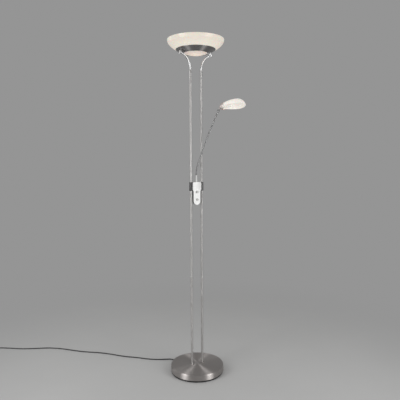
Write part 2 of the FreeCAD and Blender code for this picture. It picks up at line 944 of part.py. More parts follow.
def cover_screw_places(depth):
    """Screws from the back, two above each other on either side."""
    across = box_half_width - d.cover_screw_inset
    turn = Rotation(Vector(1, 0, 0), -90)
    for height in (d.shoulder_height + d.shoulder_rise + d.cover_screw_head,
                   d.box_height - d.box_corner - d.cover_screw_head):
        for name, side in SIDES:
            place = Vector(side * across.value, depth.value, (d.box_bottom + height).value)
            yield Placement(place, turn)


def make_control_housing():
    depth = d.box_front + d.box_seam
    body = padded("housing_shell", "XZ_Plane", box_outline(
        box_half_width, tongue_half_width, as_size(0), d.box_height, d.shoulder_height,
        d.box_corner), depth, at(0, d.box_seam, d.box_bottom))
    inner = tongue_half_width - d.box_wall
    hollow = outline(body, "XZ_Plane", [
        (-inner, tongue_half_width),
        (0, d.box_wall, inner),
        (inner, tongue_half_width, inner),
        (inner, d.box_height - d.box_wall),
        (-inner, d.box_height - d.box_wall),
    ], "housing_hollow")
    last = pocket(body, hollow, depth - d.box_wall, True, "housing_room")
    front = -depth.value

    def at_front(edge):
        box = edge.BoundBox
        return abs(box.YMin - front) < 1e-3 and abs(box.YMax - front) < 1e-3

    round_edges(body, last, d.box_round, at_front, "housing_round")
    tools = clamp_tools("housing_seat")
    for name, height in knob_heights():
        place = Vector(0, 0, (d.box_bottom + height).value)
        tools.append(cylinder("housing_shaft_hole", d.bushing_radius + d.fit_gap,
                              d.box_front + 1, Placement(place, ALONG_FRONT)))
    tools.append(cylinder("housing_bush_hole", d.bush_radius + d.fit_gap, d.box_wall + 2,
                          at(0, 0, box_top - d.box_wall - 1)))
    for name, side in SIDES:
        tools.append(cylinder("housing_clamp_screw_hole", d.clamp_screw_radius + d.fit_gap,
                              box_half_width, clamp_screw_place(side, inner - 1)))
    bite = d.cover_screw_length + d.seat_gap
    tools += [cylinder("housing_cover_screw_hole", d.cover_screw_radius, bite, place)
              for place in cover_screw_places(d.box_front - bite)]
    keep(cut("control_housing", body, tools), "control_housing")


def make_housing_cover():
    thickness = d.box_front - d.box_seam
    body = padded("cover_plate", "XZ_Plane", box_outline(
        box_half_width, tongue_half_width, as_size(0), d.box_height, d.shoulder_height,
        d.box_corner), thickness, at(0, d.box_front, d.box_bottom))
    tools = clamp_tools("cover_seat")
    tools += [cylinder("cover_screw_hole", d.cover_screw_radius + d.fit_gap, thickness * 2, place)
              for place in cover_screw_places(d.box_seam - thickness / 2)]
    keep(cut("housing_cover", body, tools), "housing_cover")


def make_cover_screws():
    screws = [
        turned("cover_screw", [
            (0, -d.cover_screw_length),
            (d.cover_screw_radius, -d.cover_screw_length),
            (d.cover_screw_radius, 0),
            (d.cover_screw_head, 0),
            (d.cover_screw_head, d.cover_screw_radius),
            (0, d.cover_screw_radius),
        ], place)
        for place in cover_screw_places(d.box_front)
    ]
    keep(joined("cover_screws", screws), "cover_screws")


def make_pole_clamps():
    bottom = d.box_bottom + d.shoulder_height
    edge = d.collar_edge
    groove = d.clamp_groove_width
    low = box_top - d.clamp_groove_drop
    for name, side in SIDES:
        sleeve = turned(name + "_sleeve", [
            (pole_hole, bottom),
            (d.clamp_radius - edge, bottom),
            (d.clamp_radius, bottom + edge),
            (d.clamp_radius, low),
            (d.clamp_radius - d.clamp_groove_depth, low),
            (d.clamp_radius - d.clamp_groove_depth, low + groove),
            (d.clamp_radius, low + groove),
            (d.clamp_radius, box_top - edge),
            (d.clamp_radius - edge, box_top),
            (pole_hole, box_top),
        ], at(half_spacing * side, 0, 0))
        hole = cylinder(name + "_sleeve_hole", d.clamp_screw_radius + d.fit_gap,
                        d.clamp_radius, clamp_screw_place(
                            side, half_spacing - d.clamp_radius - d.pole_wall))
        keep(cut(name + "_pole_clamp", sleeve, [hole]), name + "_pole_clamp")


def make_clamp_screws():
    inner = tongue_half_width - d.box_wall
    length = half_spacing - d.pole_radius - inner
    screws = [
        turned("clamp_screw", [
            (0, -d.clamp_screw_radius),
            (d.clamp_screw_head, -d.clamp_screw_radius),
            (d.clamp_screw_head, 0),
            (d.clamp_screw_radius, 0),
            (d.clamp_screw_radius, length),
            (0, length),
        ], clamp_screw_place(side, inner))
        for name, side in SIDES
    ]
    keep(joined("clamp_screws", screws), "clamp_screws")


def make_dimmers():
    inside = d.box_front - d.box_wall
    half = d.dimmer_size / 2
    bushing_end = d.box_front + d.knob_gap / 2
    shaft_back = inside - d.dimmer_depth + d.shaft_radius
    for name, height in knob_heights():
        middle = d.box_bottom + height
        body = block(name + "_dimmer_body", d.dimmer_size, d.dimmer_depth, d.dimmer_size,
                     at(-half, -inside, middle - half))
        bushing = cylinder(name + "_dimmer_bushing", d.bushing_radius, bushing_end,
                           Placement(Vector(0, 0, middle.value), ALONG_FRONT))
        bore = cylinder(name + "_dimmer_bore", d.shaft_radius + d.fit_gap,
                        bushing_end - shaft_back, Placement(
                            Vector(0, -shaft_back.value, middle.value), ALONG_FRONT))
        keep(cut(name + "_dimmer", joined(name + "_dimmer_solid", [body, bushing]), [bore]),
             name + "_dimmer")
        knob_back = d.box_front + d.knob_gap
        face = knob_back + d.knob_length
        shaft_start = shaft_back + d.seat_gap
        shaft_end = face - d.box_wall
        keep(cylinder(name + "_shaft", d.shaft_radius, shaft_end - shaft_start, Placement(
            Vector(0, -shaft_start.value, middle.value), ALONG_FRONT)), name + "_shaft")
        keep(turned(name + "_knob", [
            (d.shaft_radius, knob_back),
            (d.knob_radius, knob_back),
            (d.knob_radius - d.seat_gap, face - d.collar_edge),
            (d.knob_radius - d.collar_edge - d.seat_gap, face, d.collar_edge * 1.5),
            (0, face + d.seat_gap),
            (0, shaft_end),
            (d.shaft_radius, shaft_end),
        ], Placement(Vector(0, 0, middle.value), ALONG_FRONT)), name + "_knob")


def make_dimmer_board():
    front = d.box_front - d.box_wall - d.dimmer_depth
    height = d.box_height - d.board_bottom - d.board_top_gap
    keep(block("dimmer_board", board_half_width * 2, d.board_thickness, height,
               at(-board_half_width, -front, d.box_bottom + d.board_bottom)), "dimmer_board")


# ---- flexible arm ---------------------------------------------------------------------------

bush_top = box_top + d.bush_flange
bush_bottom = bush_top - d.bush_length


def make_arm_bush():
    keep(turned("arm_bush", [
        (d.ferrule_spigot_radius + d.fit_gap, bush_bottom),
        (d.bush_radius, bush_bottom),
        (d.bush_radius, box_top),
        (d.bush_flange_radius, box_top),
        (d.bush_flange_radius, bush_top),
        (d.ferrule_spigot_radius + d.fit_gap, bush_top),
    ]), "arm_bush")


def make_arm_ferrule():
    bottom = bush_top + d.fit_gap
    keep(turned("arm_ferrule", [
        (d.ferrule_bore, bottom - d.ferrule_spigot_length),
        (d.ferrule_spigot_radius, bottom - d.ferrule_spigot_length),
        (d.ferrule_spigot_radius, bottom),
        (d.ferrule_radius, bottom),
        (d.ferrule_tip_radius, neck_start),
        (d.ferrule_bore, neck_start),
    ], arm_frame), "arm_ferrule")


def make_arm_clip():
    top = bush_bottom - d.ear_gap
    keep(turned("arm_clip", [
        (d.ferrule_spigot_radius, top - d.clip_width),
        (d.clip_radius, top - d.clip_width),
        (d.clip_radius, top),
        (d.ferrule_spigot_radius, top),
    ], arm_frame), "arm_clip")


def neck_at(distance):
    """Point and lean of the arm's centre line, in its upright plane, at a distance along it."""
    first_arc = d.neck_first_arc.value
    first_turn = math.radians(d.neck_first_turn.value)
    first_length = first_arc * first_turn
    if distance <= first_length:
        lean = distance / first_arc
        across = first_arc * (1 - math.cos(lean))
        up = first_arc * math.sin(lean)
    else:
        second_arc = d.neck_second_length.value / math.radians(d.neck_second_turn.value)
        lean = first_turn + (distance - first_length) / second_arc
        across = first_arc * (1 - math.cos(first_turn)) \
            + second_arc * (math.cos(first_turn) - math.cos(lean))
        up = first_arc * math.sin(first_turn) \
            + second_arc * (math.sin(lean) - math.sin(first_turn))
    return Vector(across, 0, neck_start.value + up), lean


def neck_length():
    return d.neck_first_arc.value * math.radians(d.neck_first_turn.value) \
        + d.neck_second_length.value


def neck_frame(distance):
    """Frame on the arm's centre line with +Z along it and a steady X axis."""
    point, lean = neck_at(distance)
    along = Vector(math.sin(lean), 0, math.cos(lean))
    steady = Vector(0, 1, 0)
    return Placement(point, axes(steady, along.cross(steady), along))


def ring_at(distance, radius):
    ring = Part.Wire(Part.makeCircle(radius))
    ring.Placement = neck_frame(distance)
    return ring


def make_gooseneck():
    """The ribbed metal hose with its bore."""
    length = neck_length()
    ribs = int(round(length / d.neck_pitch.value))
    pitch = length / ribs
    crest = d.neck_radius.value
    valley = crest - d.neck_valley.value
    rings = []
    for rib in range(ribs):
        start = rib * pitch
        for share, radius in ((0, valley), (0.2, crest), (0.6, crest), (0.8, valley)):
            rings.append(ring_at(start + share * pitch, radius))
    rings.append(ring_at(length, valley))
    hose = Part.makeLoft(rings, True, True)
    first_end = d.neck_first_arc.value * math.radians(d.neck_first_turn.value)
    stops = [neck_at(share)[0] for share in (
        0, first_end / 2, first_end, (first_end + length) / 2, length)]
    path = Part.Wire([
        Part.Arc(stops[0], stops[1], stops[2]).toShape(),
        Part.Arc(stops[2], stops[3], stops[4]).toShape(),
    ])
    bore = path.makePipeShell([ring_at(0, d.neck_bore.value)], True, False)
    print("gooseneck: %d ribs, %.1f mm long" % (ribs, length))
    keep(modelled("gooseneck", hose.cut(bore), arm_frame), "gooseneck")


# ---- knuckle and reading head -----------------------------------------------------------------

def knuckle_frame():
    """Frame at the end of the arm, +Z along the arm."""
    return arm_frame * neck_frame(neck_length())


def make_knuckle_fork():
    frame = knuckle_frame()
    width = d.ear_width + d.ear_gap * 2 + d.cheek_width * 2
    slot = d.ear_width + d.ear_gap * 2
    slot_floor = d.fork_reach - d.cheek_radius - d.ear_gap
    across = Rotation(Vector(0, 1, 0), -90)
    pivot = Vector(width.value / 2, 0, d.fork_reach.value)
    ferrule = cylinder("fork_ferrule", d.fork_radius, d.fork_reach - d.cheek_radius, frame)
    neck = block("fork_neck", width, d.cheek_radius * 2, d.fork_reach - d.pole_wall, frame * at(
        -width / 2, -d.cheek_radius, d.pole_wall))
    cheeks = cylinder("fork_cheeks", d.cheek_radius, width, frame * Placement(pivot, across))
    gap = block("fork_slot", slot, d.cheek_radius * 4, d.fork_reach * 2, frame * at(
        -slot / 2, -d.cheek_radius * 2, slot_floor))
    hole = cylinder("fork_pin_hole", d.pin_radius, width, frame * Placement(pivot, across))
    solid = joined("fork_solid", [ferrule, neck, cheeks])
    keep(cut("knuckle_fork", solid, [gap, hole]), "knuckle_fork")
    keep(cylinder("knuckle_pin", d.pin_radius, width, frame * Placement(pivot, across)),
         "knuckle_pin")


def pivot_point():
    """The knuckle's pivot in the arm's upright plane."""
    point, lean = neck_at(neck_length())
    return point + Vector(math.sin(lean), 0, math.cos(lean)) * d.fork_reach.value


def head_frame():
    """Frame of the reading head: +X along the shade, +Z out of its crown, before it is rolled."""
    start = pivot_point() + Vector(d.head_reach.value, 0, d.head_rise.value)
    return arm_frame * Placement(start, Rotation(Vector(0, 1, 0), -d.head_slope.value))


def rolled_frame():
    return head_frame() * Placement(Vector(0, 0, 0), Rotation(Vector(1, 0, 0), -d.head_roll.value))


def under_tool(label, depth):
    """What lies below the shade's opening."""
    reach = d.shade_tip * 2
    return block(label, reach, reach, reach, rolled_frame() * at(
        -reach / 2, -reach / 2, -reach - depth))


def make_shade_holder():
    along = rolled_frame() * Placement(Vector(0, 0, 0), ALONG_X)
    bell = turned("holder_bell", [
        (0, 0),
        (d.cap_tip_radius, 0),
        (d.cap_mouth_radius, d.cap_length, d.cap_arc),
        (d.cap_mouth_radius - d.cap_wall, d.cap_length),
        (d.cap_mouth_radius - d.cap_wall, d.shade_start + d.cap_wall * 4),
        (d.shade_start_radius + d.seat_gap, d.shade_start),
        (d.cap_bore_radius, d.shade_start),
        (d.cap_bore_radius, d.cap_back),
        (0, d.cap_back),
    ], along)
    trimmed = cut("holder_trimmed", bell, [under_tool("holder_under", d.head_cut)])
    frame = head_frame()
    reach = d.head_reach.value
    rise = d.head_rise.value
    slope = math.radians(d.head_slope.value)
    pivot_across = -reach * math.cos(slope) - rise * math.sin(slope)
    pivot_up = reach * math.sin(slope) - rise * math.cos(slope)
    eye = d.cheek_radius.value - d.fit_gap.value
    plate = Part.Face(Part.makePolygon([
        Vector(pivot_across - eye * AT_45_DEGREES, 0, pivot_up + eye * AT_45_DEGREES),
        Vector(d.cap_back.value / 2, 0, -d.ferrule_bore.value),
        Vector(d.cap_back.value / 2, 0, -d.head_cut.value),
        Vector(pivot_across + eye * AT_45_DEGREES, 0, pivot_up - eye * AT_45_DEGREES),
        Vector(pivot_across - eye * AT_45_DEGREES, 0, pivot_up + eye * AT_45_DEGREES),
    ])).extrude(Vector(0, d.ear_width.value, 0))
    ear_plate = modelled("ear_plate", plate, frame * at(0, -d.ear_width / 2, 0))
    turn = Placement(
        Vector(pivot_across, d.ear_width.value / 2, pivot_up), Rotation(Vector(1, 0, 0), 90))
    ear_eye = cylinder("ear_eye", eye, d.ear_width, frame * turn)
    ear_hole = cylinder("ear_hole", d.pin_radius + d.fit_gap, d.ear_width, frame * turn)
    solid = joined("holder_solid", [trimmed, ear_plate, ear_eye])
    keep(cut("shade_holder", solid, [ear_hole]), "shade_holder")


def make_reading_shade():
    """The opal scoop: widest past its middle, closed by a round nose and open below."""
    along = rolled_frame() * Placement(Vector(0, 0, 0), ALONG_X)
    wall = d.shade_glass
    crest = d.shade_crest_radius
    back_arc = cap_radius(crest - d.shade_start_radius, d.shade_crest - d.shade_start)
    nose = d.shade_nose_radius
    nose_centre = d.shade_tip - nose
    run = nose_centre - d.shade_crest
    front_arc = (crest * crest + run * run - nose * nose) / ((crest - nose) * 2)
    share = nose / (front_arc - nose)
    meet_across = (front_arc - crest) * share
    meet_up = run * share
    inner = (nose - wall) / nose
    shell = turned("shade_shell", [
        (d.shade_start_radius - wall, d.shade_start, -back_arc),
        (d.shade_start_radius, d.shade_start),
        (crest, d.shade_crest, back_arc),
        (meet_across, nose_centre + meet_up, front_arc),
        (0, d.shade_tip, nose),
        (0, d.shade_tip - wall),
        (meet_across * inner, nose_centre + meet_up * inner, wall - nose),
        (crest - wall, d.shade_crest, wall - front_arc),
    ], along)
    keep(cut("reading_shade", shell, [under_tool("shade_under", d.shade_cut)]), "reading_shade")


def make_reading_lamp():
    """The small ceramic holder in the cap and the capsule lamp that plugs into it."""
    axis = rolled_frame() * Placement(Vector(0, 0, d.lamp_lift.value), ALONG_X)
    start = d.cap_back
    end = start + d.lampholder_length
    keep(cylinder("reading_lampholder", d.lampholder_radius, d.lampholder_length,
                  axis * at(0, 0, start)), "reading_lampholder")
    tip = end + d.capsule_length
    keep(turned("capsule_lamp", [
        (0, end),
        (d.capsule_radius - d.collar_edge, end),
        (d.capsule_radius, end + d.collar_edge),
        (d.capsule_radius, tip - d.capsule_radius),
        (0, tip, d.capsule_radius),
    ], axis), "capsule_lamp")


# ---- mains cord -----------------------------------------------------------------------------

def make_gland():
    """The tapered strain relief through the pan's wall."""
    start = pan_radius - d.pan_wall - d.gland_inside
    wall = d.gland_inside + d.cover_radius - pan_radius + d.pan_wall
    place = gland_turn * Placement(Vector(start.value, 0, d.gland_height.value), ALONG_X)
    keep(turned("cord_gland", [
        (0, 0),
        (d.gland_radius, 0),
        (d.gland_radius, wall),
        (d.gland_tip_radius, wall + d.gland_length - d.gland_inside),
        (0, wall + d.gland_length - d.gland_inside),
    ], place), "cord_gland")
    return (start + wall + d.gland_length - d.gland_inside).value


def make_base_wiring():
    """Terminal block on the pan's floor and the lead from the gland to it."""
    block_place = gland_turn * at(
        d.terminal_radius - d.terminal_length / 2, -d.terminal_width / 2, pan_inside)
    keep(block("terminal_block", d.terminal_length, d.terminal_width, d.terminal_height,
               block_place), "terminal_block")
    start = d.terminal_radius + d.terminal_length / 2
    end = pan_radius - d.pan_wall - d.gland_inside
    lead_place = gland_turn * Placement(
        Vector(start.value, 0, d.gland_height.value), ALONG_X)
    keep(cylinder("base_lead", d.cord_radius, end - start, lead_place), "base_lead")


def arc_from(start, corner, end):
    """The arc that leaves start towards corner and reaches end from it; both legs are equal."""
    middle = (start + end) * 0.5
    leg = (start - corner).Length
    sag = (middle - corner).Length
    half = (start - middle).Length
    through = corner + (middle - corner) * ((leg - half) * leg / (sag * sag))
    return Part.Arc(start, through, end).toShape()


def tube(edges, radius):
    """A round tube along a smooth path."""
    path = Part.Wire(edges)
    first = edges[0]
    begin = first.valueAt(first.FirstParameter)
    along = first.tangentAt(first.FirstParameter)
    ring = Part.Wire(Part.makeCircle(radius, begin, along))
    return path.makePipeShell([ring], True, False)


def report_volume(name, shape, path_length, radius):
    expected = math.pi * radius * radius * path_length
    print("%s: path %.1f mm, volume over section times length %.4f" % (
        name, path_length, shape.Volume / expected))


def free_cord_points(gland_reach):
    heading = math.radians(d.gland_heading.value)
    tip = Vector(gland_reach * math.cos(heading), gland_reach * math.sin(heading),
                 d.gland_height.value)
    return [tip] + [Vector(*point) for point in CORD_ROUTE]


def make_free_cord(points):
    """Straight runs joined by tangent arcs, each as large as its two runs allow."""
    edges = []
    radii = []
    last = points[0]
    for before, corner, after in zip(points, points[1:], points[2:]):
        leg = RUN_SHARE * min((corner - before).Length, (after - corner).Length)
        entry = corner + (before - corner).normalize() * leg
        leave = corner + (after - corner).normalize() * leg
        turn = (corner - before).getAngle(after - corner)
        radii.append(leg / math.tan(turn / 2))
        edges.append(Part.LineSegment(last, entry).toShape())
        edges.append(arc_from(entry, corner, leave))
        last = leave
    edges.append(Part.LineSegment(last, points[-1]).toShape())
    print("cord radii: " + ", ".join("%.0f" % radius for radius in radii))
    shape = tube(edges, d.cord_radius.value)
    length = sum(edge.Length for edge in edges)
    report_volume("cord", shape, length, d.cord_radius.value)
    keep(modelled("cord", shape), "cord")
    return length


def coil_point(turn):
    """Point of the coil at a turn counted from its reversal, in the coil's own frame."""
    pitch = d.coil_pitch.value
    angle = 2 * math.pi * turn
    radius = d.coil_inner_radius.value + pitch * abs(turn)
    climb = min(max(turn * 2 + 0.5, 0), 1)
    height = d.cord_radius.value + pitch * climb * climb * (3 - 2 * climb)
    return Vector(radius * math.cos(angle), radius * math.sin(angle), height)


def coil_heading(turn):
    """Direction of the coil's wire: level, save in the half turn where it climbs."""
    pitch = d.coil_pitch.value
    angle = 2 * math.pi * turn
    radius = d.coil_inner_radius.value + pitch * abs(turn)
    spread = pitch * (0 if turn == 0 else math.copysign(1, turn)) / (2 * math.pi)
    climb = min(max(turn * 2 + 0.5, 0), 1)
    rise = pitch * 6 * climb * (1 - climb) * 2 / (2 * math.pi)
    return Vector(
        spread * math.cos(angle) - radius * math.sin(angle),
        spread * math.sin(angle) + radius * math.cos(angle),
        rise).normalize()


def biarc(start, start_heading, end, end_heading):
    """Two tangent arcs from one point and heading to the next."""
    span = end - start
    both = start_heading + end_heading
    spread = 2 * (1 - start_heading.dot(end_heading))
    along = span.dot(both)
    leg = (math.sqrt(along * along + spread * span.dot(span)) - along) / spread
    first = start + start_heading * leg
    second = end - end_heading * leg
    middle = (first + second) * 0.5
    return [arc_from(start, first, middle), arc_from(middle, second, end)]


def least_gap(edges, radius):
    """Least gap between the tube's turns: places much further apart along it than across."""
    step = 2.0
    places = Part.Wire(edges).discretize(Distance=step)
    apart = int(15 * radius / step)
    gaps = [
        (places[after] - place).Length
        for before, place in enumerate(places)
        for after in range(before + apart, len(places))
    ]
    return min(gaps) - 2 * radius


def make_coil(points):
    """The put-away length: a flat two-layer coil, then a tail that lies down to the plug."""
    end = points[-1]
    heading = (points[-1] - points[-2])
    heading.z = 0
    heading.normalize()
    steps = int(round((LOWER_TURNS + UPPER_TURNS) * 4))
    turns = [-LOWER_TURNS + step / 4 for step in range(steps + 1)]
    places = [coil_point(turn) for turn in turns]
    headings = [coil_heading(turn) for turn in turns]
    lead = 2 * d.cord_radius.value
    edges = [Part.LineSegment(places[0] - headings[0] * lead, places[0]).toShape()]
    for index in range(steps):
        edges += biarc(places[index], headings[index], places[index + 1], headings[index + 1])
    last = places[-1]
    level = headings[-1]
    down = last.z - d.plug_thickness.value / 2
    straight_end = last + level * d.tail_straight.value
    drop_end = straight_end + level * d.tail_drop_length.value - Vector(0, 0, down)
    edges.append(Part.LineSegment(last, straight_end).toShape())
    edges += biarc(straight_end, level, drop_end, (level - Vector(0, 0, 1e-4)).normalize())
    tail_end = drop_end + level * lead
    edges.append(Part.LineSegment(drop_end, tail_end).toShape())
    own = headings[0]
    turn = math.degrees(math.atan2(heading.y, heading.x) - math.atan2(own.y, own.x))
    rotation = Rotation(Vector(0, 0, 1), turn)
    foot = end - rotation.multVec(places[0] - own * lead)
    frame = Placement(Vector(foot.x, foot.y, 0), rotation)
    shape = tube(edges, d.cord_radius.value)
    length = sum(edge.Length for edge in edges)
    report_volume("coil", shape, length, d.cord_radius.value)
    print("coil: least gap to itself %.2f mm" % least_gap(edges[:-4], d.cord_radius.value))
    keep(modelled("cord_coil", shape, frame), "cord_coil")
    plug_place = frame * Placement(tail_end, axes(level, Vector(0, 0, 1).cross(level),
                                                  Vector(0, 0, 1)))
    return length, plug_place


def make_plug(place):
    """A flat moulded plug with two round pins, lying on the floor."""
    relief = cylinder("plug_relief", d.plug_relief_radius, d.plug_relief_length,
                      place * Placement(Vector(0, 0, 0), ALONG_X))
    half = d.plug_width / 2
    tail = d.plug_tail_width / 2
    start = d.plug_relief_length
    end = start + d.plug_length
    middle = start + d.plug_length / 2
    body = padded("plug_moulding", "XY_Plane", [
        (start, -tail),
        (middle, -half),
        (end, -half),
        (end, half),
        (middle, half),
        (start, tail),
    ], d.plug_thickness, place * at(0, 0, -d.plug_thickness / 2))
    round_edges(body, body.Tip, d.plug_edge, lambda edge: True, "plug_round")
    keep(joined("plug_body", [relief, body]), "plug_body")
    pins = []
    for name, side in SIDES:
        pins.append(turned("plug_pin", [
            (0, 0),
            (d.plug_pin_radius, 0),
            (d.plug_pin_radius, d.plug_pin_length - d.collar_edge),
            (d.plug_pin_radius - d.collar_edge, d.plug_pin_length),
            (0, d.plug_pin_length),
        ], place * at(end, d.plug_pin_spacing / 2 * side, 0) * Placement(
            Vector(0, 0, 0), ALONG_X)))
    keep(joined("plug_pins", pins), "plug_pins")


# ---- whole lamp -----------------------------------------------------------------------------

def check_document():
    document.recompute()
    for obj in document.Objects:
        if "Invalid" in obj.State or "Error" in obj.State:
            raise RuntimeError("%s failed: %s" % (obj.Label, obj.State))
    for obj in sub_parts:
        if obj.Shape.isNull() or not obj.Shape.isValid() or not obj.Shape.Solids:
            raise RuntimeError("%s has no valid shape" % obj.Label)


def write_parts():
    os.makedirs("parts", exist_ok=True)
    for obj in sub_parts:
        obj.Shape.exportStep(os.path.join("parts", obj.Label + ".step"))


def make_lamp():
    make_floor_pad()
    make_base_pan()
    make_pan_screws()
    make_base_weight()
    make_base_cover()
    make_pole_nuts()
    make_cover_spacers()
    make_poles()
    make_pole_wires()
    make_pole_collars()
    make_bent_rods()
    make_stud_parts()
    make_uplight_cup()
    make_glass_bowl()
    make_lower_diffuser()
    make_diffuser_ring()
    make_lamp_bracket()
    make_lampholders()
    make_tube_lamp()
    make_control_housing()
    make_housing_cover()
    make_cover_screws()
    make_pole_clamps()
    make_clamp_screws()
    make_dimmers()
    make_dimmer_board()
    make_arm_bush()
    make_arm_ferrule()
    make_arm_clip()
    make_gooseneck()
    make_knuckle_fork()
    make_shade_holder()
    make_reading_shade()
    make_reading_lamp()
    gland_reach = make_gland()
    make_base_wiring()
    points = free_cord_points(gland_reach)
    free_length = make_free_cord(points)
    coil_length, plug_place = make_coil(points)
    make_plug(plug_place)
    print("cord length %.0f mm" % (free_length + coil_length))
    check_document()
    write_parts()
    print("%d sub-parts" % len(sub_parts))


make_lamp()
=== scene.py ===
import math

import bmesh
import bpy
from mathutils import Matrix, Vector


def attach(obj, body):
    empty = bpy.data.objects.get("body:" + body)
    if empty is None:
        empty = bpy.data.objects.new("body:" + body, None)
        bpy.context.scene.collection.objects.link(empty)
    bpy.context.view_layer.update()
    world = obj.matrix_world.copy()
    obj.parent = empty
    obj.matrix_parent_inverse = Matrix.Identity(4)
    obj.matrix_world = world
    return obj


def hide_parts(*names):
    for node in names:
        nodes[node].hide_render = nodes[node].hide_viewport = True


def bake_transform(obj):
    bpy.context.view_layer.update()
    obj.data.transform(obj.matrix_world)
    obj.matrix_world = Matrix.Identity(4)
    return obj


# Looks of the twin-pole uplighter with its reading arm. Shapes are written in millimetres and
# degrees in the CAD frame, and turned into metres when a piece is made: +Z up, +X from the left
# pole to the right pole, -Y the front. A comment says where a value is in metres.

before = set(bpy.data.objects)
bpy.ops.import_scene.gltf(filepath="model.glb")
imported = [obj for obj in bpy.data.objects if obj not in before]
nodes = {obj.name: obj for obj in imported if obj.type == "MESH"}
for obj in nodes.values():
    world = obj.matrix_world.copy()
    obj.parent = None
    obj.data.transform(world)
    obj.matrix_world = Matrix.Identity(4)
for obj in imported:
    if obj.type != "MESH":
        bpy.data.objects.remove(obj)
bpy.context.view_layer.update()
MM = 0.001


def add_object(name, data):
    obj = bpy.data.objects.new(name, data)
    bpy.context.scene.collection.objects.link(obj)
    return obj


# ---- camera ----

# Metres and degrees, from a fit of the photo's perspective.
LAMP_TURN = 28.5
CAMERA_DISTANCE = 2.453
CAMERA_HEIGHT = 1.179
CAMERA_PITCH = 5.17
CAMERA_YAW = 0.453
CAMERA_ROLL = 0.25
FOCAL_PIXELS = 455.5
FRAME_PIXELS = 400
SENSOR_WIDTH = 36


def make_camera():
    turn = math.radians(LAMP_TURN)
    towards = Vector((math.sin(turn), math.cos(turn), 0))
    place = -towards * CAMERA_DISTANCE + Vector((0, 0, CAMERA_HEIGHT))
    heading = Matrix.Rotation(-math.radians(CAMERA_YAW), 3, "Z") @ towards
    right = heading.cross(Vector((0, 0, 1))).normalized()
    forward = Matrix.Rotation(-math.radians(CAMERA_PITCH), 3, right) @ heading
    up = right.cross(forward)
    rotation = Matrix((right, up, -forward)).transposed()
    rotation = rotation @ Matrix.Rotation(math.radians(CAMERA_ROLL), 3, "Z").inverted()
    data = bpy.data.cameras.new("camera")
    data.sensor_width = SENSOR_WIDTH
    data.lens = FOCAL_PIXELS / FRAME_PIXELS * SENSOR_WIDTH
    camera = add_object("camera", data)
    camera.matrix_world = Matrix.Translation(place) @ rotation.to_4x4()
    bpy.context.scene.camera = camera


make_camera()


# ---- materials ----

# A Mix node's sockets for colours: three inputs and an output.
MIX_SHARE = 0
MIX_FIRST = 6
MIX_SECOND = 7
MIX_RESULT = 2


def mix_colors(tree, share, first, second):
    """Mixes two colours. Each is a colour or the output of a node."""
    node = tree.nodes.new("ShaderNodeMix")
    node.data_type = "RGBA"
    tree.links.new(share, node.inputs[MIX_SHARE])
    for index, value in ((MIX_FIRST, first), (MIX_SECOND, second)):
        if isinstance(value, bpy.types.NodeSocket):
            tree.links.new(value, node.inputs[index])
        else:
            node.inputs[index].default_value = (*value, 1)
    return node.outputs[MIX_RESULT]


class Look:
    """A node material that starts from one Principled shader."""

    def __init__(self, name, color, roughness, **sockets):
        self.material = bpy.data.materials.new(name)
        self.material.use_nodes = True
        self.tree = self.material.node_tree
        self.shader = self.tree.nodes["Principled BSDF"]
        self.shader.inputs["Base Color"].default_value = (*color, 1)
        self.shader.inputs["Roughness"].default_value = roughness
        for key, value in sockets.items():
            socket = key.replace("_", " ").title().replace("Ior", "IOR")
            self.shader.inputs[socket].default_value = value

    def node(self, kind, inputs=None, **settings):
        node = self.tree.nodes.new(kind)
        for name, value in settings.items():
            setattr(node, name, value)
        for name, value in (inputs or {}).items():
            if isinstance(value, bpy.types.NodeSocket):
                self.tree.links.new(value, node.inputs[name])
            else:
                node.inputs[name].default_value = value
        return node

    def coordinates(self):
        """Object coordinates in metres."""
        return self.node("ShaderNodeTexCoord").outputs["Object"]

    def noise(self, scale, detail=4, roughness=0.55, stretch=(1, 1, 1)):
        place = self.node("ShaderNodeMapping", {
            "Vector": self.coordinates(), "Scale": stretch})
        return self.node("ShaderNodeTexNoise", {
            "Vector": place.outputs["Vector"], "Scale": scale, "Detail": detail,
            "Roughness": roughness}).outputs["Fac"]

    def spread(self, value, low, high, start=0.3, end=0.7):
        """Maps a noise value to a range."""
        return self.node("ShaderNodeMapRange", {
            "Value": value, "From Min": start, "From Max": end,
            "To Min": low, "To Max": high}).outputs["Result"]

    def math(self, operation, first, second=0.0):
        return self.node(
            "ShaderNodeMath", {0: first, 1: second}, operation=operation).outputs[0]

    def mix(self, share, first, second):
        return mix_colors(self.tree, share, first, second)

    def feed(self, socket, value):
        self.tree.links.new(value, self.shader.inputs[socket])

    def tint(self, noise, color, low, high, start=0.3, end=0.7):
        """Base colour that runs from a low to a high multiple of a colour as the noise does."""
        self.feed("Base Color", self.mix(
            self.spread(noise, 0, 1, start, end),
            [c * low for c in color], [min(c * high, 1) for c in color]))

    def bump(self, height, distance, strength):
        """Surface relief of a height between 0 and 1 times a distance in millimetres."""
        relief = self.node("ShaderNodeBump", {
            "Height": height, "Distance": distance * MM, "Strength": strength})
        self.feed("Normal", relief.outputs["Normal"])


# Turns the stretched highlights of a brushed metal across its lines.
ACROSS_LINES = 0.25
# Share of the height in the spacing of turning lines, which gives upright faces their lines too.
HEIGHT_SHARE = 0.7


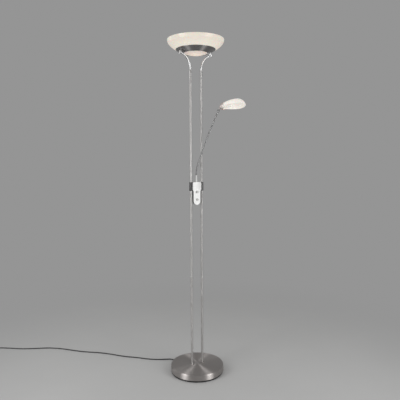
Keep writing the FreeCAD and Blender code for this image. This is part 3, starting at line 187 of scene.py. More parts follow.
def spun_metal(name, color, roughness, lines, anisotropic):
    """Metal with fine turning lines about the Z axis."""
    look = Look(name, color, roughness, metallic=1.0, anisotropic=anisotropic,
                anisotropic_rotation=ACROSS_LINES)
    parts = look.node("ShaderNodeSeparateXYZ", {"Vector": look.coordinates()})
    across, along = parts.outputs["X"], parts.outputs["Y"]
    squares = look.math("ADD", look.math("MULTIPLY", across, across),
                        look.math("MULTIPLY", along, along))
    radius = look.math("SQRT", squares)
    depth = look.math("MULTIPLY", parts.outputs["Z"], HEIGHT_SHARE)
    rings = look.node("ShaderNodeTexNoise", {
        "W": look.math("ADD", radius, depth), "Scale": lines, "Detail": 6,
        "Roughness": 0.7}, noise_dimensions="1D").outputs["Fac"]
    cloud = look.noise(14)
    rough = look.math("ADD", look.spread(rings, roughness * 0.8, roughness * 1.25),
                      look.spread(cloud, -0.02, 0.03))
    look.feed("Roughness", rough)
    look.tint(rings, color, 0.9, 1.08)
    look.bump(rings, 0.02, 0.5)
    tangent = look.node("ShaderNodeTangent", direction_type="RADIAL", axis="Z")
    look.feed("Tangent", tangent.outputs["Tangent"])
    return look.material


def plated_metal(name, color, roughness, scale, stretch=(1, 1, 1), smudge=0.06,
                 anisotropic=0.0):
    """Plated metal with faint drawing lines and handling marks."""
    look = Look(name, color, roughness, metallic=1.0, anisotropic=anisotropic,
                anisotropic_rotation=ACROSS_LINES)
    lines = look.noise(scale, 3, stretch=stretch)
    marks = look.noise(18, 5)
    rough = look.math("ADD", look.spread(lines, roughness * 0.85, roughness * 1.2),
                      look.spread(marks, 0, smudge))
    look.feed("Roughness", rough)
    look.tint(marks, color, 0.93, 1.05)
    look.bump(lines, 0.008, 0.4)
    return look.material


def lit_glass(name, color, glow, glow_color, strength, lamp, reach, roughness):
    """Opal glass with painted lamp light: its base colour is painted lighter and its emission glows
    more near its lamp, fading over the two distances of reach.
    """
    look = Look(name, color, roughness, coat_weight=0.12, coat_roughness=0.1,
                subsurface_weight=0.25, subsurface_scale=0.012)
    gap = look.node("ShaderNodeVectorMath", {0: look.coordinates(), 1: lamp},
                    operation="DISTANCE")
    near = look.node("ShaderNodeMapRange", {
        "Value": gap.outputs["Value"], "From Min": reach[0], "From Max": reach[1],
        "To Min": 1.0, "To Max": 0.0}, interpolation_type="SMOOTHSTEP").outputs["Result"]
    cloud = look.noise(30, 5)
    body = look.mix(look.spread(cloud, 0, 1), [c * 0.975 for c in color], color)
    # Painted light: the base colour turns to the lighter glow colour near the lamp, and the
    # emission stands in for the lamp's light shining through the glass.
    look.feed("Base Color", look.mix(near, body, glow))
    look.feed("Emission Color", look.mix(near, [c * 0.55 for c in glow_color], glow_color))
    look.shader.inputs["Emission Strength"].default_value = strength
    look.feed("Roughness", look.spread(cloud, roughness * 0.8, roughness * 1.3))
    look.bump(look.noise(90, 3), 0.03, 0.4)
    return look.material


def moulded_plastic(name, color, roughness, grain=0.02, scale=900, coat=0.0):
    look = Look(name, color, roughness, coat_weight=coat, coat_roughness=0.08)
    fine = look.noise(scale, 3)
    wide = look.noise(25)
    look.feed("Roughness", look.spread(wide, roughness * 0.85, roughness * 1.2))
    look.tint(wide, color, 0.96, 1.03)
    look.bump(fine, grain, 0.5)
    return look.material


def felt(name, color):
    look = Look(name, color, 0.95, sheen_weight=0.4, sheen_roughness=0.6)
    fibres = look.noise(1600, 6, 0.75)
    look.tint(fibres, color, 0.6, 1.5)
    look.bump(fibres, 0.25, 0.8)
    return look.material


def clear_glass(name, color):
    look = Look(name, color, 0.03, transmission_weight=1.0, ior=1.46)
    waves = look.noise(120, 2)
    look.feed("Roughness", look.spread(waves, 0.02, 0.06))
    look.bump(waves, 0.01, 0.3)
    return look.material


def ceramic(name, color):
    look = Look(name, color, 0.32, coat_weight=0.5, coat_roughness=0.12)
    specks = look.noise(700, 4, 0.7)
    look.tint(specks, color, 1, 0.8, 0.55, 0.75)
    look.feed("Roughness", look.spread(specks, 0.25, 0.45))
    look.bump(specks, 0.03, 0.5)
    return look.material


def cast_iron(name, color):
    look = Look(name, color, 0.6, metallic=0.4)
    pits = look.noise(260, 6, 0.7)
    look.feed("Roughness", look.spread(pits, 0.5, 0.75))
    look.tint(pits, color, 0.7, 1)
    look.bump(pits, 0.3, 0.7)
    return look.material


# Places that the glow of each glass starts from, in metres.
BOWL_LAMP = (0, 0, 1.75)
DOME_LAMP = (0, 0, 1.720)
HEAD_LAMP = (0.128, -0.107, 1.453)

brushed_cover = spun_metal("brushed_cover", (0.50, 0.47, 0.455), 0.40, 900, 0.95)
cup_metal = spun_metal("cup_metal", (0.32, 0.31, 0.305), 0.40, 500, 0.95)
nickel = plated_metal("satin_nickel", (0.52, 0.51, 0.50), 0.28, 1500, stretch=(1, 1, 0.02),
                      anisotropic=0.98)
sleeve_nickel = plated_metal("sleeve_nickel", (0.085, 0.085, 0.085), 0.2, 900,
                             stretch=(1, 1, 0.05), anisotropic=0.7)
rib_metal = plated_metal("rib_metal", (0.40, 0.40, 0.40), 0.2, 300, smudge=0.05)
chrome = plated_metal("bright_chrome", (0.66, 0.66, 0.66), 0.1, 200, smudge=0.03)
zinc = plated_metal("zinc_steel", (0.62, 0.62, 0.62), 0.32, 500)
# Satin nickel with a pale pink tint in its colour, which is painted warm light falling on the cap.
warm_lit_cap_metal = plated_metal("warm_lit_cap_metal", (0.80, 0.72, 0.69), 0.5, 400)
brass_pins = plated_metal("pin_metal", (0.74, 0.70, 0.60), 0.2, 400)
opal = lit_glass(
    "opal_glass", (0.68, 0.63, 0.55), glow=(0.72, 0.68, 0.60), glow_color=(1.0, 0.92, 0.79),
    strength=0.34, lamp=BOWL_LAMP, reach=(0.10, 0.17), roughness=0.3)
warm_opal = lit_glass(
    "diffuser_glass", (0.66, 0.61, 0.59), glow=(0.74, 0.66, 0.58), glow_color=(1.0, 0.83, 0.68),
    strength=0.50, lamp=DOME_LAMP, reach=(0.005, 0.066), roughness=0.4)
shade_opal = lit_glass(
    "shade_opal", (0.60, 0.585, 0.55), glow=(0.62, 0.61, 0.57), glow_color=(1.0, 0.96, 0.90),
    strength=0.40, lamp=HEAD_LAMP, reach=(0.04, 0.13), roughness=0.4)
white_plastic = moulded_plastic("white_plastic", (0.82, 0.82, 0.81), 0.22, coat=0.3)
knob_plastic = moulded_plastic("knob_plastic", (0.46, 0.455, 0.44), 0.28, coat=0.2)
side_plastic = moulded_plastic("side_plastic", (0.03, 0.03, 0.032), 0.3, 0.03)
grey_plastic = moulded_plastic("grey_plastic", (0.56, 0.56, 0.55), 0.42, 0.03)
light_grey = moulded_plastic("light_grey", (0.66, 0.66, 0.65), 0.35, 0.03)
black_plastic = moulded_plastic("black_plastic", (0.028, 0.028, 0.03), 0.42, 0.05)
board_plastic = moulded_plastic("board", (0.09, 0.22, 0.12), 0.4, 0.05)
wire_plastic = moulded_plastic("wire_insulation", (0.78, 0.77, 0.72), 0.45, 0.03)
cord_plastic = moulded_plastic("cord_rubber", (0.022, 0.022, 0.024), 0.48, 0.06, 1400)
black_paint = moulded_plastic("black_paint", (0.012, 0.012, 0.013), 0.55, 0.04, 600)
felt_grey = felt("felt", (0.07, 0.07, 0.075))
quartz = clear_glass("clear_glass", (0.95, 0.96, 0.96))
steatite = ceramic("ceramic", (0.86, 0.84, 0.79))
iron = cast_iron("cast_iron", (0.09, 0.09, 0.09))
mark_paint = moulded_plastic("mark_paint", (0.25, 0.25, 0.26), 0.5)


# ---- outlines ----

def arc_points(start, end, radius, step=6.0):
    """Points inside an arc that bulges to the right of its direction where radius is positive."""
    start, end = Vector(start), Vector(end)
    chord = end - start
    left = Vector((-chord.y, chord.x)) / chord.length
    depth = math.sqrt(max(radius * radius - chord.length_squared / 4, 0))
    centre = (start + end) / 2 + left * math.copysign(depth, radius)
    first = math.atan2(start.y - centre.y, start.x - centre.x)
    turn = 2 * math.asin(min(chord.length / 2 / abs(radius), 1)) * math.copysign(1, radius)
    count = max(int(abs(math.degrees(turn)) / step) + 1, 2)
    return [
        centre + Vector((math.cos(first + turn * k / count), math.sin(first + turn * k / count)))
        * abs(radius)
        for k in range(1, count)
    ]


def arc_radius(rise, reach):
    """Radius of the arc that falls by rise over a reach from its crest."""
    return (rise ** 2 + reach ** 2) / (2 * rise)


def walk(points, index, step, distance):
    """The place at a distance from a corner along the outline, and the corners passed."""
    passed = []
    place = points[index]
    while True:
        following = points[(index + step) % len(points)]
        length = (following - place).length
        if length >= distance:
            return place + (following - place) * (distance / length), passed
        distance -= length
        index += step
        passed.append(index % len(points))
        place = following


ROUNDING_SHARES = (0, 0.2, 0.4, 0.6, 0.8, 1)


def outline(corners, step=6.0):
    """Closed outline of corners (x, y, radius of the arc to it or 0, distance it is rounded by)."""
    points, softness = [], []
    for index, corner in enumerate(corners):
        x, y, radius, soft = (*corner, 0, 0)[:4]
        before = corners[index - 1]
        if radius:
            middle = arc_points(before[:2], (x, y), radius, step)
            points += middle
            softness += [0] * len(middle)
        points.append(Vector((x, y)))
        softness.append(soft)
    rounded, dropped = {}, set()
    for index, soft in enumerate(softness):
        if soft:
            entry, passed_back = walk(points, index, -1, soft)
            leave, passed_on = walk(points, index, 1, soft)
            dropped.update(passed_back + passed_on)
            rounded[index] = [
                entry * (1 - t) ** 2 + points[index] * 2 * t * (1 - t) + leave * t * t
                for t in ROUNDING_SHARES
            ]
    result = []
    for index, point in enumerate(points):
        if index in rounded:
            result += rounded[index]
        elif index not in dropped:
            result.append(point)
    return result


# ---- meshes ----

WELD_DISTANCE = 1e-4
LEVEL_TOLERANCE = 1e-6
CUT_TOLERANCE = 1e-3
# Side of a trimming block, larger than any piece that is trimmed.
TRIM_SIZE = 200


def lathe(points, steps=96, pulse=None):
    """A turned solid from closed (radius, height) points. pulse changes the radius by angle."""
    mesh = bmesh.new()
    rings = []
    for radius, height in points:
        if radius < WELD_DISTANCE:
            rings.append([mesh.verts.new((0, 0, height))])
            continue
        ring = []
        for k in range(steps):
            angle = 2 * math.pi * k / steps
            reach = radius + (pulse(radius, height, angle) if pulse else 0)
            ring.append(mesh.verts.new((reach * math.cos(angle), reach * math.sin(angle), height)))
        rings.append(ring)
    join_rings(mesh, rings + rings[:1])
    return mesh


def join_rings(mesh, rings):
    """Faces between neighbouring rings. A ring of one vertex makes a fan."""
    for lower, upper in zip(rings, rings[1:]):
        count = max(len(lower), len(upper))
        if count == 1:
            continue
        for k in range(count):
            after = (k + 1) % count
            corners = [lower[k % len(lower)], lower[after % len(lower)],
                       upper[after % len(upper)], upper[k % len(upper)]]
            kept = [v for i, v in enumerate(corners) if v not in corners[:i]]
            mesh.faces.new(kept)


def cap_ends(mesh, lower, upper):
    mesh.faces.new(list(reversed(lower)))
    mesh.faces.new(upper)


def bevel(mesh, edges, width):
    bmesh.ops.bevel(mesh, geom=edges, offset=width, segments=3, affect="EDGES", profile=0.5,
                    clamp_overlap=True)


def sweep(frames, radii, sides):
    """A round tube through frames (4x4 matrices) with a radius at each."""
    mesh = bmesh.new()
    rings = []
    for matrix, radius in zip(frames, radii):
        rings.append([
            mesh.verts.new(matrix @ Vector((
                radius * math.cos(2 * math.pi * k / sides),
                radius * math.sin(2 * math.pi * k / sides), 0)))
            for k in range(sides)
        ])
    join_rings(mesh, rings)
    cap_ends(mesh, rings[0], rings[-1])
    return mesh


def prism(points, low, high, edge=0.0):
    """An upright solid from a closed outline, with its two rims bevelled."""
    mesh = bmesh.new()
    lower = [mesh.verts.new((p[0], p[1], low)) for p in points]
    upper = [mesh.verts.new((p[0], p[1], high)) for p in points]
    cap_ends(mesh, lower, upper)
    join_rings(mesh, [lower, upper])
    if edge:
        rims = [e for e in mesh.edges
                if abs(e.verts[0].co.z - e.verts[1].co.z) < LEVEL_TOLERANCE]
        bevel(mesh, rims, edge)
    return mesh


def trim_below(mesh, matrix, height, edge):
    """Cuts off what lies below a height in the frame of matrix and rounds the rim of the cut."""
    size = TRIM_SIZE
    block = prism([(-size, -size), (size, -size), (size, size), (-size, size)],
                  height - size, height)
    block.transform(matrix)
    mesh = combine(mesh, block, "DIFFERENCE")
    normal = matrix.to_3x3() @ Vector((0, 0, 1))
    point = matrix @ Vector((0, 0, height))
    rim = [e for e in mesh.edges
           if all(abs((v.co - point).dot(normal)) < CUT_TOLERANCE for v in e.verts)]
    bevel(mesh, rim, edge)
    return mesh


def piece(name, mesh, material, body, matrix=None, replaces=(), smooth=35):
    """Turns a mesh in millimetres into a piece in metres that rides on a body."""
    bmesh.ops.remove_doubles(mesh, verts=mesh.verts[:], dist=WELD_DISTANCE)
    bmesh.ops.recalc_face_normals(mesh, faces=mesh.faces[:])
    if matrix:
        mesh.transform(matrix)
    mesh.transform(Matrix.Scale(MM, 4))
    data = bpy.data.meshes.new(name)
    mesh.to_mesh(data)
    mesh.free()
    data.polygons.foreach_set("use_smooth", [True] * len(data.polygons))
    data.set_sharp_from_angle(angle=math.radians(smooth))
    data.materials.append(material)
    obj = add_object(name, data)
    if body:
        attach(obj, body)
    if replaces:
        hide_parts(*replaces)
    return obj


def combine(mesh, other, operation):
    """Boolean of two meshes in millimetres. Returns a new one."""
    objects = []
    for part in (mesh, other):
        bmesh.ops.recalc_face_normals(part, faces=part.faces[:])
        data = bpy.data.meshes.new("part")
        part.to_mesh(data)
        part.free()
        objects.append(add_object("part", data))
    first, second = objects
    modifier = first.modifiers.new("boolean", "BOOLEAN")
    modifier.operation = operation
    modifier.solver = "EXACT"
    modifier.object = second
    graph = bpy.context.evaluated_depsgraph_get()
    result = bmesh.new()
    result.from_object(first, graph)
    for obj in objects:
        data = obj.data
        bpy.data.objects.remove(obj)
        bpy.data.meshes.remove(data)
    return result


def merged(meshes):
    """Several closed meshes as one, without joining their surfaces."""
    whole = bmesh.new()
    for mesh in meshes:
        data = bpy.data.meshes.new("part")
        mesh.to_mesh(data)
        mesh.free()
        whole.from_mesh(data)
        bpy.data.meshes.remove(data)
    return whole


def rod(radius, length, matrix=Matrix(), steps=48):
    mesh = lathe([(0, 0), (radius, 0), (radius, length), (0, length)], steps)
    mesh.transform(matrix)
    return mesh


def shift(x, y, z):
    return Matrix.Translation((x, y, z))


def spin(angle, axis):
    return Matrix.Rotation(math.radians(angle), 4, axis)


ALONG_X = spin(90, "Y")
ALONG_FRONT = spin(90, "X")
SIDES = (("left", -1), ("right", 1))


# ---- mains cord ----

GLAND_TURN = 110
GLAND_TIP = 173.0
GLAND_HEIGHT = 7.5
CORD_RADIUS = 3.0
PLUG_HALF_THICKNESS = 6.8

# The route on the floor, and the coil and the tail that follow it, in metres.
CORD_ROUTE = [
    (-0.067, 0.184, 0.0075), (-0.085, 0.202, 0.005), (-0.131, 0.225, 0.003),
    (-0.185, 0.263, 0.003), (-0.237, 0.318, 0.003), (-0.297, 0.367, 0.003),
    (-0.351, 0.434, 0.003), (-0.413, 0.497, 0.003), (-0.482, 0.546, 0.003),
    (-0.542, 0.606, 0.003), (-0.602, 0.672, 0.003), (-0.670, 0.723, 0.003),
    (-0.747, 0.754, 0.003), (-0.820, 0.790, 0.003), (-0.883, 0.839, 0.003),
    (-0.942, 0.877, 0.003), (-1.002, 0.904, 0.003),
]
LOWER_TURNS = 1.75
UPPER_TURNS = 1.5
COIL_RADIUS = 0.030
COIL_PITCH = 0.0066
COIL_LEAD = 0.006
TAIL_STRAIGHT = 0.026
TAIL_DROP = 0.024
POINTS_PER_TURN = 16


def coil_place(turn, reach=1.0):
    """A place on the coil, which winds in on one layer, climbs and winds out on the next."""
    angle = 2 * math.pi * turn
    radius = (COIL_RADIUS + COIL_PITCH * abs(turn)) * reach
    climb = min(max(turn * 2 + 0.5, 0), 1)
    height = CORD_RADIUS * MM + COIL_PITCH * climb * climb * (3 - 2 * climb)
    return Vector((radius * math.cos(angle), radius * math.sin(angle), height))


def coil_heading(turn):
    angle = 2 * math.pi * turn
    radius = COIL_RADIUS + COIL_PITCH * abs(turn)
    spread = COIL_PITCH * math.copysign(1, turn) / (2 * math.pi)
    return Vector((spread * math.cos(angle) - radius * math.sin(angle),
                   spread * math.sin(angle) + radius * math.cos(angle), 0)).normalized()


def make_cord():
    """One spline: the free route, the turns of the coil and the tail that goes into the plug."""
    turn = math.radians(GLAND_TURN)
    exit_point = Vector((GLAND_TIP * MM * math.cos(turn), GLAND_TIP * MM * math.sin(turn),
                         GLAND_HEIGHT * MM))
    route = [exit_point] + [Vector(p) for p in CORD_ROUTE]
    heading = route[-1] - route[-2]
    own = coil_heading(-LOWER_TURNS)
    angle = math.atan2(heading.y, heading.x) - math.atan2(own.y, own.x)
    rotation = Matrix.Rotation(angle, 4, "Z")
    start = rotation @ (coil_place(-LOWER_TURNS) - own * COIL_LEAD)
    foot = route[-1] - start
    coil_frame = Matrix.Translation((foot.x, foot.y, 0)) @ rotation
    reach = 1 / math.cos(math.pi / POINTS_PER_TURN)
    count = int((LOWER_TURNS + UPPER_TURNS) * POINTS_PER_TURN)
    coil = [coil_frame @ coil_place((k + 0.5) / POINTS_PER_TURN - LOWER_TURNS, reach)
            for k in range(count)]
    last = coil_frame @ coil_place(UPPER_TURNS)
    level = (coil_frame.to_3x3() @ coil_heading(UPPER_TURNS)).normalized()
    drop = Vector((0, 0, last.z - PLUG_HALF_THICKNESS * MM))
    straight_end = last + level * TAIL_STRAIGHT
    drop_end = straight_end + level * TAIL_DROP - drop
    tail_end = drop_end + level * COIL_LEAD
    points = route + coil + [straight_end, drop_end, tail_end]
    data = bpy.data.curves.new("mains_cord", "CURVE")
    data.dimensions = "3D"
    spline = data.splines.new("NURBS")
    spline.points.add(len(points) - 1)
    for point, place in zip(spline.points, points):
        point.co = (*place, 1)
    spline.order_u = 3
    spline.use_endpoint_u = True
    spline.resolution_u = 8
    data.bevel_depth = CORD_RADIUS * MM
    data.bevel_resolution = 5
    data.use_fill_caps = True
    data.materials.append(cord_plastic)
    cord = add_object("mains_cord", data)
    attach(cord, "stand")
    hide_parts("cord", "cord_coil")
    side = Vector((0, 0, 1)).cross(level)
    plug_frame = Matrix((level, side, Vector((0, 0, 1)))).transposed().to_4x4()
    plug_frame.translation = tail_end / MM
    return cord, exit_point, plug_frame


PLUG_START = 14.0
PLUG_END = 50.0
PLUG_HALF_WIDTH = 13
PLUG_GROOVES = 5
PLUG_GROOVE_START = 26.0
PLUG_GROOVE_PITCH = 3.2
PLUG_GROOVE_RADIUS = 0.7
PLUG_GROOVE_LENGTH = 20
RELIEF_LENGTH = 14.6
RELIEF_RADIUS = 4.4
RELIEF_STEPS = 28
RELIEF_GROOVE = 0.55
PIN_RADIUS = 2.0
PIN_LENGTH = 19.0
PIN_PLACE = 9.3


def make_plug(plug_frame):
    """A flat moulded plug: ribbed relief, waisted body and two round pins."""
    relief = []
    for k in range(RELIEF_STEPS + 1):
        grooved = k % 4 in (2, 3) and 2 < k < RELIEF_STEPS - 2
        relief.append((RELIEF_RADIUS - (RELIEF_GROOVE if grooved else 0),
                       RELIEF_LENGTH * k / RELIEF_STEPS))
    relief_mesh = lathe([(0, 0)] + relief + [(0, RELIEF_LENGTH)], 40)
    relief_mesh.transform(ALONG_X)
    left = [(PLUG_START, 7.5, 0, 2.0), (22, 9.0, 0, 5), (33, PLUG_HALF_WIDTH, 0, 6),
            (PLUG_END, PLUG_HALF_WIDTH, 0, 2.5)]
    right = [(x, -y, arc, soft) for x, y, arc, soft in left]
    body = prism(outline(right + left[::-1]), -PLUG_HALF_THICKNESS, PLUG_HALF_THICKNESS, 2.4)
    grips = []
    for k in range(PLUG_GROOVES):
        for side in (-1, 1):
            place = shift(PLUG_GROOVE_START + PLUG_GROOVE_PITCH * k, -PLUG_GROOVE_LENGTH / 2,
                          side * (PLUG_HALF_THICKNESS + 0.2))
            grips.append(rod(PLUG_GROOVE_RADIUS, PLUG_GROOVE_LENGTH, place @ spin(-90, "X"), 16))
    body = combine(body, merged(grips), "DIFFERENCE")
    whole = combine(body, relief_mesh, "UNION")
    plug = piece("moulded_plug", whole, black_plastic, "stand", plug_frame,
                 ["plug_body"], 40)
    pins = []
    for name, side in SIDES:
        pin = lathe(outline([
            (0, -1), (PIN_RADIUS, -1), (PIN_RADIUS, PIN_LENGTH, 0, 1.2), (0, PIN_LENGTH)]), 32)
        pin.transform(shift(PLUG_END, PIN_PLACE * side, 0) @ ALONG_X)
        pins.append(pin)
    pin_piece = piece("round_pins", merged(pins), brass_pins, "stand", plug_frame,
                      ["plug_pins"])
    return [plug, pin_piece]


cord, exit_point, plug_frame = make_cord()
plug_pieces = make_plug(plug_frame)


# ---- uplight's seat and the poles' height ----

POLE_PLACE = 32.0
SEAT = 1750.2
CUP_RADIUS = 105.0
CUP_MOUTH = 66.0
CUP_FLANGE = 1.2
CUP_SHEET = 1.5
CUP_TILT = math.radians(26)
CUP_SLOPE = math.tan(CUP_TILT)
CUP_BOTTOM = SEAT - CUP_FLANGE - (CUP_RADIUS - CUP_MOUTH) * CUP_SLOPE
STUD_CIRCLE = 86.0
STUD_FOOT = CUP_BOTTOM + (STUD_CIRCLE - CUP_MOUTH) * CUP_SLOPE
EYE_DISTANCE = 10.5
EYE_HALF_WIDTH = 3.0
ROD_BEND = 89.0
ROD_TURN = math.radians(60)
ROD_ACROSS = STUD_CIRCLE + math.sin(CUP_TILT) * EYE_DISTANCE - POLE_PLACE
ROD_RUN = (ROD_ACROSS - ROD_BEND * (1 - math.cos(ROD_TURN))) / math.sin(ROD_TURN)
ROD_RISE = ROD_BEND * math.sin(ROD_TURN) + ROD_RUN * math.cos(ROD_TURN)
ROD_START = STUD_FOOT - math.cos(CUP_TILT) * EYE_DISTANCE - ROD_RISE
COLLAR_HEIGHT = 8
POLE_TOP = ROD_START - COLLAR_HEIGHT


# ---- base ----

COVER_RADIUS = 146.0
COVER_FOOT = 10.0
COVER_EDGE = 42.0
COVER_TOP = 46.0
COVER_SLANT = 1.0
COVER_SHEET = 1.2
COVER_ROUNDING = 7.0
PAN_RADIUS = 143.0
PAN_WALL = 2.5
PAN_FLOOR = 1.5
PAN_TOP = COVER_FOOT - 0.3
GLAND_RADIUS = 4.5
GLAND_HOLE = 4.6
GLAND_START = 136.5
GLAND_TIP_RADIUS = 3.6
RIDGES = 6
RIDGE_PITCH = 3.4
RIDGE_DEPTH = 0.5
RIDGE_TAPER = 0.9 / 27


def gland_frame(distance):
    """At a distance from the middle towards the cord's exit, +Z outwards."""
    return spin(GLAND_TURN, "Z") @ shift(distance, 0, GLAND_HEIGHT) @ ALONG_X


def make_base():
    edge = COVER_RADIUS - COVER_SLANT
    cover = lathe(outline([
        (edge, COVER_EDGE, 0, COVER_ROUNDING), (COVER_RADIUS, COVER_FOOT, 0, 0.4),
        (COVER_RADIUS - COVER_SHEET, COVER_FOOT), (edge - COVER_SHEET, COVER_EDGE - COVER_SHEET),
        (0, COVER_TOP - COVER_SHEET), (0, COVER_TOP)]), 256)
    holes = [rod(POLE_HOLE, 30, shift(POLE_PLACE * side, 0, 30)) for name, side in SIDES]
    holes.append(rod(GLAND_HOLE, 30, gland_frame(120)))
    piece("spun_cover", combine(cover, merged(holes), "DIFFERENCE"), brushed_cover, "stand",
          replaces=["base_cover"], smooth=30)
    pan = lathe(outline([
        (0, PAN_FLOOR), (PAN_RADIUS, PAN_FLOOR, 0, 0.9), (PAN_RADIUS, PAN_TOP, 0, 0.4),
        (PAN_RADIUS - PAN_WALL, PAN_TOP), (PAN_RADIUS - PAN_WALL, PAN_FLOOR * 2),
        (0, PAN_FLOOR * 2)]), 256)
    gland_hole = rod(GLAND_HOLE, 20, gland_frame(130))
    piece("pan_rim", combine(pan, gland_hole, "DIFFERENCE"), black_paint, "stand",
          replaces=["base_pan"], smooth=30)
    relief = [(0, GLAND_START), (GLAND_RADIUS, GLAND_START), (GLAND_RADIUS, COVER_RADIUS + 0.2)]
    for k in range(RIDGES):
        start = COVER_RADIUS + 1 + RIDGE_PITCH * k
        radius = GLAND_RADIUS - RIDGE_TAPER * (start - COVER_RADIUS)
        relief += [(radius, start), (radius, start + 1.9), (radius - RIDGE_DEPTH, start + 2.2),
                   (radius - RIDGE_DEPTH, start + 3.1)]
    relief += [(3.65, 168.5), (GLAND_TIP_RADIUS, GLAND_TIP), (0, GLAND_TIP)]
    mesh = lathe(relief, 40)
    mesh.transform(gland_frame(0))
    piece("strain_relief", mesh, cord_plastic, "stand",
          replaces=["cord_gland"], smooth=30)


POLE_RADIUS = 6.0
POLE_HOLE = 6.12
POLE_BORE = 5.0
POLE_FOOT = 4.5
COLLAR_RADIUS = 7.2
COLLAR_BORE = 2.5
COLLAR_DEPTH = 20


def make_poles():
    for name, side in SIDES:
        place = shift(POLE_PLACE * side, 0, 0)
        tube = lathe([(POLE_BORE, POLE_FOOT), (POLE_RADIUS, POLE_FOOT), (POLE_RADIUS, POLE_TOP),
                      (POLE_BORE, POLE_TOP)], 64)
        tube.transform(place)
        piece(name + "_tube", tube, nickel, "stand", replaces=[name + "_pole"])
        collar = lathe(outline([
            (COLLAR_BORE, POLE_TOP - COLLAR_DEPTH), (POLE_BORE - 0.05, POLE_TOP - COLLAR_DEPTH),
            (POLE_BORE - 0.05, POLE_TOP), (COLLAR_RADIUS, POLE_TOP, 0, 0.3),
            (COLLAR_RADIUS, ROD_START, 0, 1.4), (COLLAR_BORE, ROD_START)]), 64)
        collar.transform(place)
        piece(name + "_ring", collar, nickel, "stand",
              replaces=[name + "_collar"], smooth=40)


# ---- uplight ----

STUD_HOLE = 3.05
EYE_START = EYE_DISTANCE - EYE_HALF_WIDTH
EYE_END = EYE_DISTANCE + EYE_HALF_WIDTH
EYE_RADIUS = 7.0
ROD_RADIUS = 4
ROD_END_GAP = 5.6
ROD_STEPS = 32
SPACER_RADIUS = 4.5
NUT_RADIUS = 5.0
NUT_DOME = 4.4


def stud_frame(side):
    """Origin on the outside of the cup wall, +Z straight out of the wall."""
    out = Vector((side * math.sin(CUP_TILT), 0, -math.cos(CUP_TILT)))
    across = Vector((0, 1, 0))
    third = out.cross(across)
    matrix = Matrix((across, third, out)).transposed().to_4x4()
    matrix.translation = (side * STUD_CIRCLE, 0, STUD_FOOT)
    return matrix


def rod_frames(side):
    """Frames along a rod: round its bend, then straight to its eye."""
    frames = []
    for k in range(ROD_STEPS + 3):
        lean = ROD_TURN * min(k, ROD_STEPS) / ROD_STEPS
        extra = (ROD_RUN - ROD_END_GAP) * max(k - ROD_STEPS, 0) / 2
        across = ROD_BEND * (1 - math.cos(lean)) + extra * math.sin(lean)
        rise = ROD_BEND * math.sin(lean) + extra * math.cos(lean)
        place = shift(side * (POLE_PLACE + across), 0, ROD_START + rise)
        frames.append(place @ spin(side * math.degrees(lean), "Y"))
    return frames


def make_rods():
    """The bent rods with their flattened eyes, and the spacers and domed nuts of the studs."""
    for name, side in SIDES:
        frame_out = stud_frame(side)
        frames = rod_frames(side)
        tube = sweep(frames, [ROD_RADIUS] * len(frames), 40)
        eye = lathe(outline([
            (STUD_HOLE, EYE_START), (EYE_RADIUS, EYE_START, 0, 0.8), (EYE_RADIUS, EYE_END, 0, 0.8),
            (STUD_HOLE, EYE_END)]), 48)
        eye.transform(frame_out)
        piece(name + "_bent_rod", combine(tube, eye, "UNION"), chrome, "stand",
              replaces=[name + "_rod"], smooth=40)
        spacer = lathe(outline([
            (STUD_HOLE, 0), (SPACER_RADIUS, 0, 0, 0.3), (SPACER_RADIUS, EYE_START, 0, 0.3),
            (STUD_HOLE, EYE_START)]), 40)
        piece(name + "_standoff", spacer, chrome, "stand", frame_out,
              [name + "_stud_spacer"])
        shoulder = EYE_END + 4
        nut = lathe(outline([
            (3, EYE_END), (NUT_RADIUS, EYE_END, 0, 0.4), (NUT_RADIUS, shoulder, 0, 0.3),
            (NUT_DOME, shoulder + 0.7, 0, 0.3), (4.0, shoulder + 0.9),
            (0, shoulder + 4.9, NUT_DOME), (0, shoulder + 0.5), (3, shoulder + 0.5)]), 48)
        piece(name + "_dome_nut", nut, chrome, "stand", frame_out,
              [name + "_cap_nut"])


CUP_LEDGE = CUP_BOTTOM + CUP_SHEET
CUP_LEDGE_RADIUS = 62.5
CUP_LIP_RADIUS = CUP_RADIUS - 5.5
CUP_LIP_TOP = SEAT + 6.8
BOWL_RADIUS = 150.0
BOWL_TOP = 1800.0
BOWL_KNEE_RADIUS = 141.0
BOWL_KNEE = SEAT + 26.8
BOWL_LOWER_ARC = 110.0
BOWL_UPPER_ARC = 36.0
BOWL_GLASS = 4.0
BOWL_FOOT_RADIUS = 99.8
BOWL_FOOT_GLASS = 2.2
DOME_DROP = 10.0
DOME_RADIUS = 62.0
DOME_RIM = 65.0
DOME_GLASS = 2.5


def make_cup():
    lip_bore = CUP_LIP_RADIUS - CUP_SHEET
    wall_inside = CUP_BOTTOM + (lip_bore - CUP_MOUTH) * CUP_SLOPE + CUP_SHEET
    cup = lathe(outline([
        (CUP_LEDGE_RADIUS, CUP_BOTTOM, 0, 0.5), (CUP_MOUTH, CUP_BOTTOM, 0, 1.2),
        (CUP_RADIUS, SEAT - CUP_FLANGE, 0, 0.8), (CUP_RADIUS, SEAT, 0, 0.4),
        (CUP_LIP_RADIUS, SEAT, 0, 0.2), (CUP_LIP_RADIUS, CUP_LIP_TOP, 0, 0.4),
        (lip_bore, CUP_LIP_TOP, 0, 0.4), (lip_bore, wall_inside, 0, 0.8),
        (CUP_MOUTH, CUP_LEDGE, 0, 0.8), (CUP_LEDGE_RADIUS, CUP_LEDGE, 0, 0.4)]), 192)
    holes = [rod(STUD_HOLE, 8, stud_frame(side) @ shift(0, 0, -4), 32) for name, side in SIDES]
    piece("spun_cup", combine(cup, merged(holes), "DIFFERENCE"), cup_metal, "stand",
          replaces=["uplight_cup"], smooth=30)


